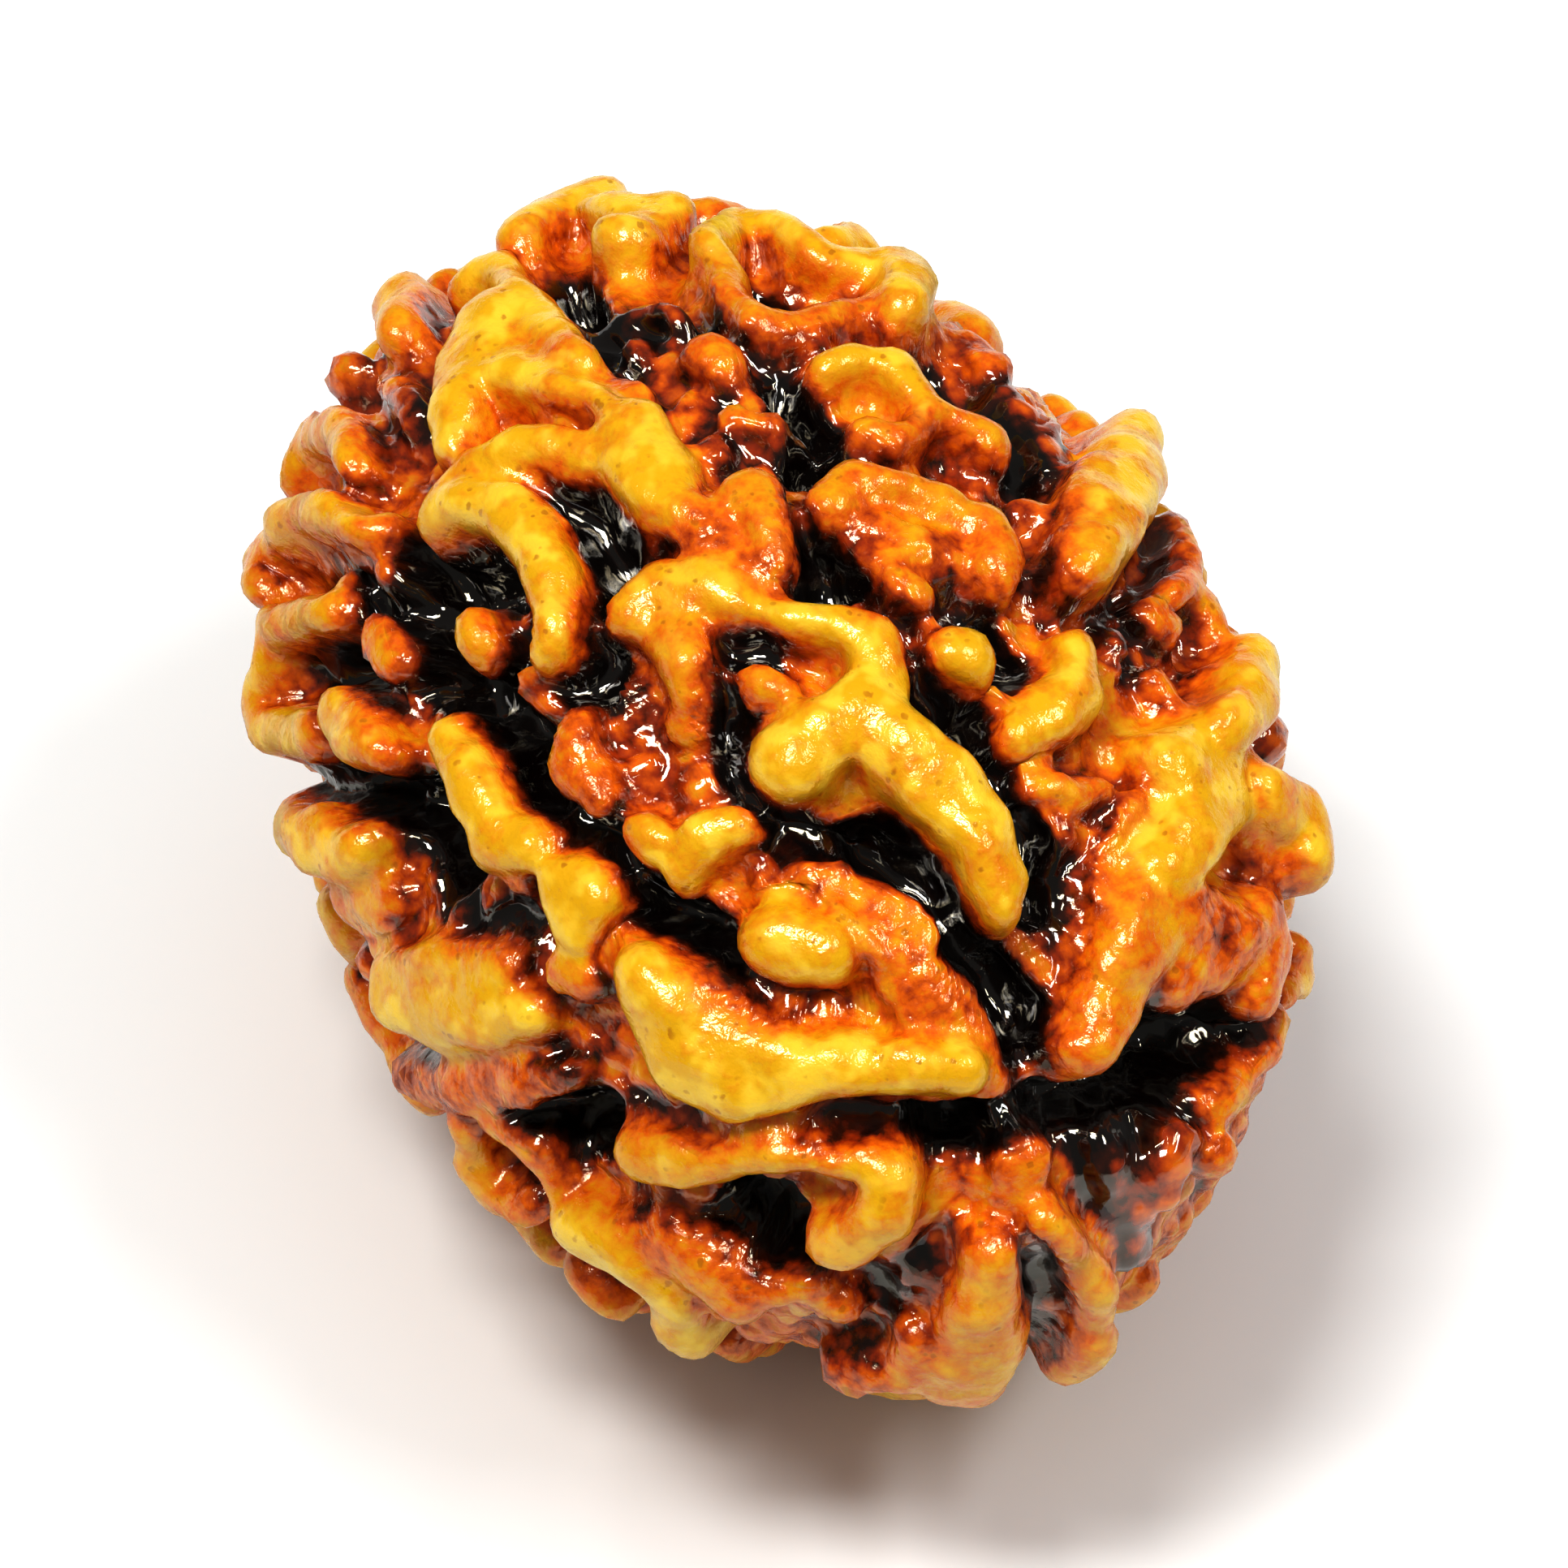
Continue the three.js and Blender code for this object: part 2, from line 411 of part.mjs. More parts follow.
// A furrow's spine runs just over its floor, and its walls open outwards from there
function furrowFromPlaces(name, depth, places, halfWidths) {
  const nodes = places.map((place, i) => {
    const sunk = place.clone().addScaledVector(outwardNormal(place), halfWidths[i] - depth);
    return spineNode(sunk, halfWidths[i]);
  });
  return makeForm(name, nodes, depth + REACH);
}

function furrowFromPicture([name, depth, path]) {
  const places = path.map(([x, y]) => seenPoint(x, y, VALLEY_DEPTH / 2));
  const lifted = places.map((place) => onEnvelope(place, 0));
  return furrowFromPlaces(name, depth, lifted, path.map(([, , halfWidth]) => halfWidth));
}

// Where a point lies beside a span: height over the spine, distance from it, and the share along it
function besideSpan([from, to], x, y, z) {
  const stepX = to.place.x - from.place.x;
  const stepY = to.place.y - from.place.y;
  const stepZ = to.place.z - from.place.z;
  const lengthSq = stepX * stepX + stepY * stepY + stepZ * stepZ;
  const offX = x - from.place.x;
  const offY = y - from.place.y;
  const offZ = z - from.place.z;
  const reach = lengthSq > 0 ? (offX * stepX + offY * stepY + offZ * stepZ) / lengthSq : 0;
  const share = Math.min(Math.max(reach, 0), 1);
  const asideX = offX - share * stepX;
  const asideY = offY - share * stepY;
  const asideZ = offZ - share * stepZ;
  const upX = from.normal.x + share * (to.normal.x - from.normal.x);
  const upY = from.normal.y + share * (to.normal.y - from.normal.y);
  const upZ = from.normal.z + share * (to.normal.z - from.normal.z);
  const height = (asideX * upX + asideY * upY + asideZ * upZ) / Math.hypot(upX, upY, upZ);
  const span = asideX * asideX + asideY * asideY + asideZ * asideZ;
  const aside = Math.sqrt(Math.max(span - height * height, 0));
  return { height, aside, share };
}

// A lobe has a flattened round top, and its flanks spread a little as they go down to the valley
function lobeDistance(span, x, y, z) {
  const { height, aside, share } = besideSpan(span, x, y, z);
  const halfWidth = span[0].halfWidth + share * (span[1].halfWidth - span[0].halfWidth);
  const cap = span[0].cap + share * (span[1].cap - span[0].cap);
  const spread = 1 + FLARE * Math.min(Math.max(-height / FLARE_DEPTH, 0), 1);
  const over = (Math.max(height, 0) * halfWidth) / cap;
  const across = (aside ** CAP_SQUARENESS + over ** CAP_SQUARENESS) ** (1 / CAP_SQUARENESS);
  return Math.max(across - halfWidth * spread, -height - LOBE_DEPTH);
}

function furrowDistance(span, x, y, z) {
  const { height, aside, share } = besideSpan(span, x, y, z);
  const halfWidth = span[0].halfWidth + share * (span[1].halfWidth - span[0].halfWidth);
  const opening = FURROW_FLARE * Math.max(height, 0);
  return Math.hypot(aside, Math.min(height, 0)) - halfWidth - opening;
}

function formDistance(form, measure, x, y, z) {
  let distance = measure(form.spans[0], x, y, z);
  for (let i = 1; i < form.spans.length; i += 1) {
    distance = smoothUnion(distance, measure(form.spans[i], x, y, z), SPINE_BLEND);
  }
  return Math.min(distance, REACH);
}

function isNear(form, x, y, z) {
  const { center, radius } = form.ball;
  const squared = (x - center.x) ** 2 + (y - center.y) ** 2 + (z - center.z) ** 2;
  return squared < radius * radius;
}

// The far end of the stone, opposite the place where the three furrows meet in the picture
const nearPole = onEnvelope(seenPoint(MEETING_PIXEL.x, MEETING_PIXEL.y, 0), 0);
const farPole = nearPole.clone().negate();

// Each furrow runs on from the rim of the picture round the hidden side to the far end
function hiddenFurrows() {
  const furrows = FURROW_EXITS.map(([name, x, y]) => {
    const exit = seenPoint(x, y, 0).normalize();
    const places = [];
    for (let i = 0; i < FURROW_STEPS; i += 1) {
      const share = i / (FURROW_STEPS - 1);
      const direction = exit.clone().lerp(farPole.clone().normalize(), share);
      direction.y += FURROW_SWAY * wave(i, x, y, 1, 0);
      places.push(onEnvelope(direction, 0));
    }
    return furrowFromPlaces(name, HIDDEN_FURROW_DEPTH, places, places.map(() => HIDDEN_FURROW_WIDTH));
  });
  furrows.push(furrowFromPlaces('stalk_scar', HIDDEN_FURROW_DEPTH, [farPole], [STALK_SCAR_WIDTH]));
  return furrows;
}

function seededRandom(seed) {
  let state = seed;
  return () => {
    state = (state + 0x6d2b79f5) >>> 0;
    let mixed = Math.imul(state ^ (state >>> 15), state | 1);
    mixed ^= mixed + Math.imul(mixed ^ (mixed >>> 7), mixed | 61);
    return ((mixed ^ (mixed >>> 14)) >>> 0) / 2 ** 32;
  };
}

function between(range, share) {
  return range.least + share * (range.most - range.least);
}

// Lobes of the hidden side: short bent ridges, mostly lengthwise, clear of the furrows and the feet,
// and lower at the picture's rim and on the stone's flatter side
function hiddenLobes(furrows) {
  const random = seededRandom(HIDDEN_SEED);
  const goldenAngle = Math.PI * (3 - Math.sqrt(5));
  const floorPoints = furrows.flatMap((furrow) =>
    furrow.spans.flatMap(([from, to]) => [
      from.place,
      from.place.clone().lerp(to.place, 0.5),
      to.place,
    ]),
  );
  const lobes = [];
  for (let i = 0; i < SPIRAL_LOBES; i += 1) {
    const along = 1 - (2 * (i + 0.5)) / SPIRAL_LOBES;
    const ring = Math.sqrt(1 - along * along);
    const angle = i * goldenAngle;
    const turn = (random() - 0.5) * 2 * HIDDEN_TURN;
    const bend = (random() - 0.5) * 2 * HIDDEN_BEND;
    const halfSpan = between(HIDDEN_HALF_SPAN, random());
    const halfWidth = between(HIDDEN_HALF_WIDTH, random());
    const riseDraw = (random() - 0.5) * 2;
    const direction = new THREE.Vector3(along, ring * Math.cos(angle), ring * Math.sin(angle));
    const middle = direction.clone().multiply(envelope(0));
    const normal = outwardNormal(middle);
    const facing = normal.dot(viewer.clone().sub(middle).normalize());
    const floorGap = Math.min(
      ...floorPoints.map((point) => onEnvelope(point, 0).distanceTo(middle) - halfWidth),
    );
    const footGap = Math.min(
      ...FEET.map(([, x, y]) => middle.distanceTo(new THREE.Vector3(x, y, -AXIS_HEIGHT))),
    );
    if (facing > HIDDEN_FACING || floorGap < FURROW_CLEARANCE || footGap < FOOT_CLEARANCE) {
      continue;
    }
    const nearRim = Math.max(1 - (HIDDEN_FACING - facing) / RIM_BAND, 0);
    const onFlatSide = Math.max(middle.clone().normalize().dot(flatSide) - FLAT_START, 0);
    const rise = riseDraw * HIDDEN_RISE - nearRim * RIM_DROP - onFlatSide * FLAT_DROP;
    const across = new THREE.Vector3().crossVectors(normal, new THREE.Vector3(1, 0, 0)).normalize();
    const lengthwise = new THREE.Vector3().crossVectors(across, normal);
    const heading = (swing) =>
      lengthwise.clone().multiplyScalar(Math.cos(swing)).addScaledVector(across, Math.sin(swing));
    const ahead = middle.clone().addScaledVector(heading(turn + bend), halfSpan);
    const behind = middle.clone().addScaledVector(heading(turn - bend), -halfSpan);
    const tip = halfWidth * HIDDEN_TAPER;
    lobes.push(lobeFromDirections(`hidden_${i}`, rise, [behind, middle, ahead], [tip, halfWidth, tip]));
  }
  return lobes;
}

function feet() {
  return FEET.map(([name, x, y, rise, halfWidth]) => {
    const directions = [-FOOT_HALF_SPAN, 0, FOOT_HALF_SPAN].map((step) => {
      const { x: longAxis, y: sideAxis, z: upAxis } = envelope(0);
      const flat = ((x + step) / longAxis) ** 2 + (y / sideAxis) ** 2;
      return new THREE.Vector3(x + step, y, -upAxis * Math.sqrt(1 - flat));
    });
    return lobeFromDirections(name, rise, directions, directions.map(() => halfWidth));
  });
}

// Signed distance to the stone, in a frame whose origin is the middle of the stone
function makeField() {
  const hidden = hiddenFurrows();
  const lobes = [...LOBES.map(lobeFromPicture), ...hiddenLobes(hidden), ...feet()];
  const furrows = [...FURROWS.map(furrowFromPicture), ...hidden];
  const core = envelope(VALLEY_DEPTH);
  return (x, y, z) => {
    const inner = Math.hypot(x / core.x, y / core.y, z / core.z);
    const slope = Math.hypot(x / core.x ** 2, y / core.y ** 2, z / core.z ** 2);
    let distance = (inner * (inner - 1)) / slope;
    for (const swell of FLOOR_SWELLS) {
      distance -= swell.height * wave(x, y, z, swell.frequency, swell.phase);
    }
    distance = Math.min(Math.max(distance, -REACH), REACH);
    const [bentX, bentY, bentZ] = [x, y, z].map(
      (value, i) => value + LOBE_BEND * wave(x, y, z, BEND_WAVES[i].frequency, BEND_WAVES[i].phase),
    );
    for (const furrow of furrows) {
      if (isNear(furrow, x, y, z)) {
        distance = smoothCut(distance, formDistance(furrow, furrowDistance, x, y, z), FURROW_BLEND);
      }
    }
    for (const lobe of lobes) {
      if (isNear(lobe, x, y, z)) {
        const toLobe = formDistance(lobe, lobeDistance, bentX, bentY, bentZ);
        distance = smoothUnion(distance, toLobe, LOBE_BLEND);
      }
    }
    for (const swell of SKIN_SWELLS) {
      distance -= swell.height * wave(x, y, z, swell.frequency, swell.phase);
    }
    return Math.max(distance, -AXIS_HEIGHT - z);
  };
}

// Walks inwards along a line through the middle until the outermost skin, then halves the last step
function skinPoint(field, direction) {
  const outside = direction.clone().multiply(envelope(-START_HEIGHT));
  const inward = outside.clone().normalize().multiplyScalar(-MARCH_STEP);
  const point = outside.clone();
  while (field(point.x, point.y, point.z) > 0) {
    point.add(inward);
  }
  const step = inward.clone();
  for (let i = 0; i < HALVINGS; i += 1) {
    step.multiplyScalar(0.5);
    point.addScaledVector(step, field(point.x, point.y, point.z) > 0 ? 1 : -1);
  }
  return point;
}

function fieldSlope(field, point) {
  const { x, y, z } = point;
  const probe = SLOPE_PROBE;
  return new THREE.Vector3(
    field(x + probe, y, z) - field(x - probe, y, z),
    field(x, y + probe, z) - field(x, y - probe, z),
    field(x, y, z + probe) - field(x, y, z - probe),
  ).divideScalar(2 * probe);
}

function neighbourLists(index, count) {
  const lists = Array.from({ length: count }, () => new Set());
  for (let i = 0; i < index.length; i += 3) {
    for (let corner = 0; corner < 3; corner += 1) {
      const from = index[i + corner];
      lists[from].add(index[i + ((corner + 1) % 3)]);
      lists[from].add(index[i + ((corner + 2) % 3)]);
    }
  }
  return lists.map((list) => [...list]);
}

// Moves a point down the slope of the distance until it lies on the skin
function pullToSkin(field, point, shift) {
  const slope = fieldSlope(field, point);
  const steepness = Math.max(slope.lengthSq(), LEAST_STEEPNESS);
  const gap = field(point.x, point.y, point.z) + shift.dot(slope);
  return point.clone().add(shift).addScaledVector(slope, -gap / steepness);
}

// Slides the vertices along the skin until they are spread evenly over the steep flanks
function relax(field, points, neighbours) {
  let current = points;
  for (let round = 0; round < RELAX_ROUNDS; round += 1) {
    current = current.map((point, i) => {
      const shift = new THREE.Vector3();
      for (const other of neighbours[i]) {
        shift.add(current[other]);
      }
      shift.divideScalar(neighbours[i].length).sub(point).multiplyScalar(RELAX_SHARE);
      return pullToSkin(field, point, shift);
    });
  }
  const still = new THREE.Vector3();
  for (let pull = 0; pull < LAST_PULLS; pull += 1) {
    current = current.map((point) => pullToSkin(field, point, still));
  }
  return current;
}

function beadGeometry() {
  const sphere = new THREE.IcosahedronGeometry(1, SKIN_DETAIL);
  sphere.deleteAttribute('normal');
  sphere.deleteAttribute('uv');
  const geometry = mergeVertices(sphere);
  const position = geometry.attributes.position;
  const field = makeField();
  const starts = [];
  for (let i = 0; i < position.count; i += 1) {
    starts.push(skinPoint(field, new THREE.Vector3().fromBufferAttribute(position, i)));
  }
  const neighbours = neighbourLists(geometry.index.array, position.count);
  relax(field, starts, neighbours).forEach((point, i) => {
    const height = point.z + AXIS_HEIGHT;
    position.setXYZ(i, point.x, point.y, height < FLAT_SNAP ? 0 : height);
  });
  geometry.computeVertexNormals();
  return geometry;
}

function rudrakshaBead() {
  const stone = new THREE.MeshStandardMaterial({ color: 0xd9930f, roughness: 0.38, metalness: 0 });
  const bead = new THREE.Mesh(beadGeometry(), stone);
  bead.name = 'rudraksha_bead';
  return bead;
}

const part = new THREE.Group();
part.add(rudrakshaBead());

export default part;
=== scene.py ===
import itertools
import math

import bpy
import numpy as np
from mathutils import Matrix


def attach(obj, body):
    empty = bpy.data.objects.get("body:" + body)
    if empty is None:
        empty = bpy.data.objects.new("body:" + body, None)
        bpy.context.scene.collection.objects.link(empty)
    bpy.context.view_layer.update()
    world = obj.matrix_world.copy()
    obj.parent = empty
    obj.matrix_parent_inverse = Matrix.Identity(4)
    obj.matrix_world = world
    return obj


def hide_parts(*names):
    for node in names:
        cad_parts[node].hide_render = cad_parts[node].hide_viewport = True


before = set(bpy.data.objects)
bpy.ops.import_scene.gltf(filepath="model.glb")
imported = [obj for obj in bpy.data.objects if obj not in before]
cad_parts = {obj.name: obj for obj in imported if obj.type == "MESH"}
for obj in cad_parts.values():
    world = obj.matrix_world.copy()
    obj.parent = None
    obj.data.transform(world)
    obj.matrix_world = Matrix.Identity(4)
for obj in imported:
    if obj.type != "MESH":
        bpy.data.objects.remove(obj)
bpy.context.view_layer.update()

bl_info = {
    "name": "Three Mukhi Rudraksha Bead",
    "version": (1, 0, 0),
    "blender": (4, 5, 0),
    "location": "View3D > Sidebar > Rudraksha",
    "description": "Grows one three mukhi rudraksha stone with its lobes and furrows, and lights it",
    "category": "Add Mesh",
}

# The frame's solid that the grown stone stands for, and its one body
SOLID = "rudraksha_bead"
BODY = "root"
MILLIMETRE = 0.001
# Top of the scale of stain and painted shade, where the colour ramp reaches black
BLACK_STAIN_AND_SHADE = 3.0

# Driving dimensions of the stone in millimetres, as in the frame's own solid
HALF_LENGTH = 13.4
HALF_WIDTH = 9.4
AXIS_HEIGHT = 8.9
VALLEY_DEPTH = 1.15
LOBE_DEPTH = 2.4
FLARE_DEPTH = 1.2
FLARE = 0.14
CAP_FLATTENING = 0.28
CAP_SQUARENESS = 2.5
FURROW_FLARE = 0.12

# Fillets between forms, and how far from a form its distance still counts
SPINE_BLEND = 0.12
LOBE_BLEND = 0.18
FURROW_BLEND = 0.22
REACH = 0.8

# Low swells of the valley floor and of the whole skin, as height, frequency and phase, and the
# gentle bending of every lobe, as one frequency and phase for each axis
FLOOR_SWELLS = ((0.3, 2.3, 0.0), (0.12, 5.1, 1.0))
SKIN_SWELLS = ((0.07, 2.9, 0.6), (0.03, 6.1, 2.2))
LOBE_BEND = 0.16
BEND_WAVES = ((1.7, 0.3), (1.6, 1.9), (1.8, 3.1))

# How strongly the three sines of a wave bend each other, and how their phases differ
WAVE_SLOWNESS = 0.7
WAVE_BEND = 1.3
WAVE_PHASES = (2.1, 4.2)

# How the photograph looks at the stone, in its frame of 1932 pixels square
VIEW_AZIMUTH = math.radians(65.9)
VIEW_ELEVATION = math.radians(52.0)
VIEW_DISTANCE = 170.0
PIXELS_PER_MM = 65.0
PICTURE_SIZE = 1932
PICTURE_CENTRE = (968.0, 975.0)

# The side that the photograph doesn't show: lobes on a golden spiral, with seeded draws
HIDDEN_SEED = 3107
SPIRAL_LOBES = 196
DRAWS_PER_LOBE = 5
HIDDEN_FACING = -0.04
HIDDEN_HALF_SPAN = (0.5, 1.7)
HIDDEN_HALF_WIDTH = (0.48, 0.9)
HIDDEN_RISE = 0.16
RIM_DROP = 0.32
RIM_BAND = 0.45
FLAT_SIDE = (0.8, -0.6)
FLAT_START = 0.72
FLAT_DROP = 3.2
HIDDEN_TURN = 1.15
HIDDEN_BEND = 0.7
HIDDEN_TAPER = 0.8
HIDDEN_TONE = 0.3
HIDDEN_TONE_SPREAD = 0.8
FURROW_CLEARANCE = 0.48
HIDDEN_FURROW_WIDTH = 0.36
HIDDEN_FURROW_DEPTH = 2.3
FURROW_STEPS = 7
FURROW_SWAY = 0.1
STALK_SCAR_WIDTH = 0.75

# The lobes that the stone rests on: x, y, rise, and half width
FEET = ((0.0, 0.0, -0.3, 0.95), (3.6, 2.3, 0.33, 0.8), (-3.7, 1.9, 0.25, 0.8), (0.4, -3.0, 0.17, 0.8))
FOOT_HALF_SPAN = 0.7
FOOT_CLEARANCE = 1.6
FOOT_TONE = 0.4

# Resolution of the sampled field and of the skin
FIELD_STEP = 0.13
SKIN_CELLS = 126
START_HEIGHT = 1.2
MARCH_STEP = 0.07
HALVINGS = 8
RELAX_ROUNDS = 40
RELAX_SHARE = 0.6
LEAST_STEEPNESS = 0.3
POLISH_ROUNDS = 2

# Guards against a division by nothing, and how finely two points are told apart
LEAST_SLOPE = 1e-6
LEAST_LENGTH = 1e-12
MERGE_FINENESS = 1e6

# How the stain and painted shade of a point are worked out: painted shade from how hollow it lies, stain
# and painted shade from how deep it lies and how upright its flank stands, and stain from how near a
# furrow it lies and from its lobe's tone. A range runs from where an effect begins to where it is full.
HOLLOW_WALKS = (0.35, 0.8)
HOLLOW_RANGE = (0.8, 0.25)
HOLLOW_SHADE = 1.35
CORE_TONE = 1.0
TONE_REACH = 0.45
SUNK_RANGE = (0.35, 1.5)
SUNK_STAIN_AND_SHADE = 0.9
FURROW_RANGE = (0.3, 0.0)
CHANNEL_RANGE = (0.6, 1.25)
CHANNEL_STAIN = 2.4
FLANK_RANGE = (0.75, 0.15)
FLANK_STAIN_AND_SHADE = 0.38
TONE_ROUNDS = 4
STAIN_AND_SHADE_ROUNDS = 2
WET_STAIN_AND_SHADE = (1.1, 2.2)
WET_SLOPES = (-0.4, 0.2)

# Crumbs that cover the valleys: side of a cell, radius and least size of a crumb, the levels of stain and
# painted shade and the levelness between which they come and go, and how much lighter their tops are
CRUMB_CELL = 0.56
CRUMB_RADIUS = 0.38
CRUMB_SMALLEST = 0.5
CRUMB_SEED = 911
CRUMB_RISE = (0.9, 1.5)
CRUMB_FADE = (2.8, 2.3)
CRUMB_LEVEL = (0.45, 0.8)
CRUMB_TOP_LIGHTENING = 1.0

# Whole numbers that mix the seeded draws of the hidden lobes and of the crumbs
WORD_MASK = 0xFFFFFFFF
DRAW_STEP = 0x6D2B79F5
DRAW_ODD = 61
DRAW_SHIFTS = (15, 7, 14)
CELL_FACTORS = (73856093, 19349663, 83492791)
MIX_FACTOR = 1103515245
MIX_STEP = 12345
MIX_MASK = 0x7FFFFFFF
MIX_SHIFT = 8
DRAW_BITS = 16

# Uneven skin: weight, frequency and phase of each wave, its share on the golden tops, and the levels of
# stain and painted shade between which it grows
SKIN_WAVES = ((0.6, 4.5, 0.7), (0.5, 7.0, 2.2))
SKIN_ON_TOPS = 0.3
SKIN_STAIN_AND_SHADE = (0.3, 1.8)

# Noises of the finish: frequency in a millimetre, detail, and roughness
CLOUDS = (0.7, 3.0, 0.5)
GRAIN = (3.4, 3.0, 0.6)
BLOTCHES = (1.3, 2.0, 0.5)
RIPPLES = (1.1, 0.5, 0.5)
FRECKLE_PATCHES = (1.4, 1.0, 0.5)
NOISE_MIDDLE = 0.5
CRUMBLETS_PER_MM = 3.4
FRECKLES_PER_MM = 3.6

# Where the colours along the stain and painted shade lie, how far each noise shifts them, and which levels
# look crumbly
COLOUR_STOPS = (0.0, 0.2, 0.4, 0.62, 0.8, 0.94)
STAIN_AND_SHADE_LIFT = 0.05
CLOUD_SHIFT = 2.4
GRAIN_SHIFT = 2.2
CRUMBLET_SHIFT = 1.2
CRUMBLET_MIDDLE = 0.45
WET_CALM = 0.5
CRUMBLY_RISE = (0.7, 1.3)
CRUMBLY_FADE = (2.3, 2.8)

# Pale waxy blotches on the tops, partly painted highlights, and freckles with a ragged edge, in patches
WAX_HIGHLIGHT_RISE = (0.45, 0.63)
WAX_HIGHLIGHT_FADE = (0.1, 0.9)
WAX_HIGHLIGHT_SHARE = 0.7
PATCH_RISE = (0.42, 0.62)
FRECKLE_EDGE = (0.06, 0.24)
FRECKLE_RAG = 1.1
FRECKLE_SHARE = 0.5

# Gloss and fine relief of the stone and of the film on its wet channels
TOP_ROUGHNESS = 0.22
GRAIN_ROUGHNESS = 0.3
WET_ROUGHNESS = 0.07
COAT_SHARE = 0.8
COAT_ROUGHNESS = 0.07
COAT_IOR = 1.8
STONE_IOR = 1.5
SPECULAR_LEVEL = 0.85
SPECULAR_TINT = (1.0, 0.92, 0.72, 1.0)
RELIEF_HEIGHT = 0.0001
GRAIN_RELIEF = 0.8
RIPPLE_RELIEF = 6.0
CRUMBLET_RELIEF = 1.2
FLOOR_ROUGHNESS = 0.8
FLOOR_CELLS = 12

# Lamps: sizes and distances in metres, directions as right, up and towards the viewer
CEILING_DISTANCE = 0.7
CEILING_SIZE = (1.8, 1.6)
KEY_DIRECTION = (-0.26, 0.48, 0.84)
KEY_DISTANCE = 0.6
KEY_SIZE = (0.22, 0.12)
WINDOW_DIRECTION = (0.55, 0.5, 0.8)
WINDOW_DISTANCE = 0.5
WINDOW_SIZE = (0.05, 0.22)
UPWARDS = np.array((0.0, 0.0, 1.0))
WHITE = (1.0, 1.0, 1.0)
WARM_WHITE = (1.0, 0.98, 0.95)

# Camera: how its picture is shown, its sensor in millimetres, and what it sees, in metres
VIEW_GAMMA = 0.72
VIEW_EXPOSURE = 0.05
SENSOR_WIDTH = 36.0
CLIP_NEAR = 0.01
CLIP_FAR = 5.0

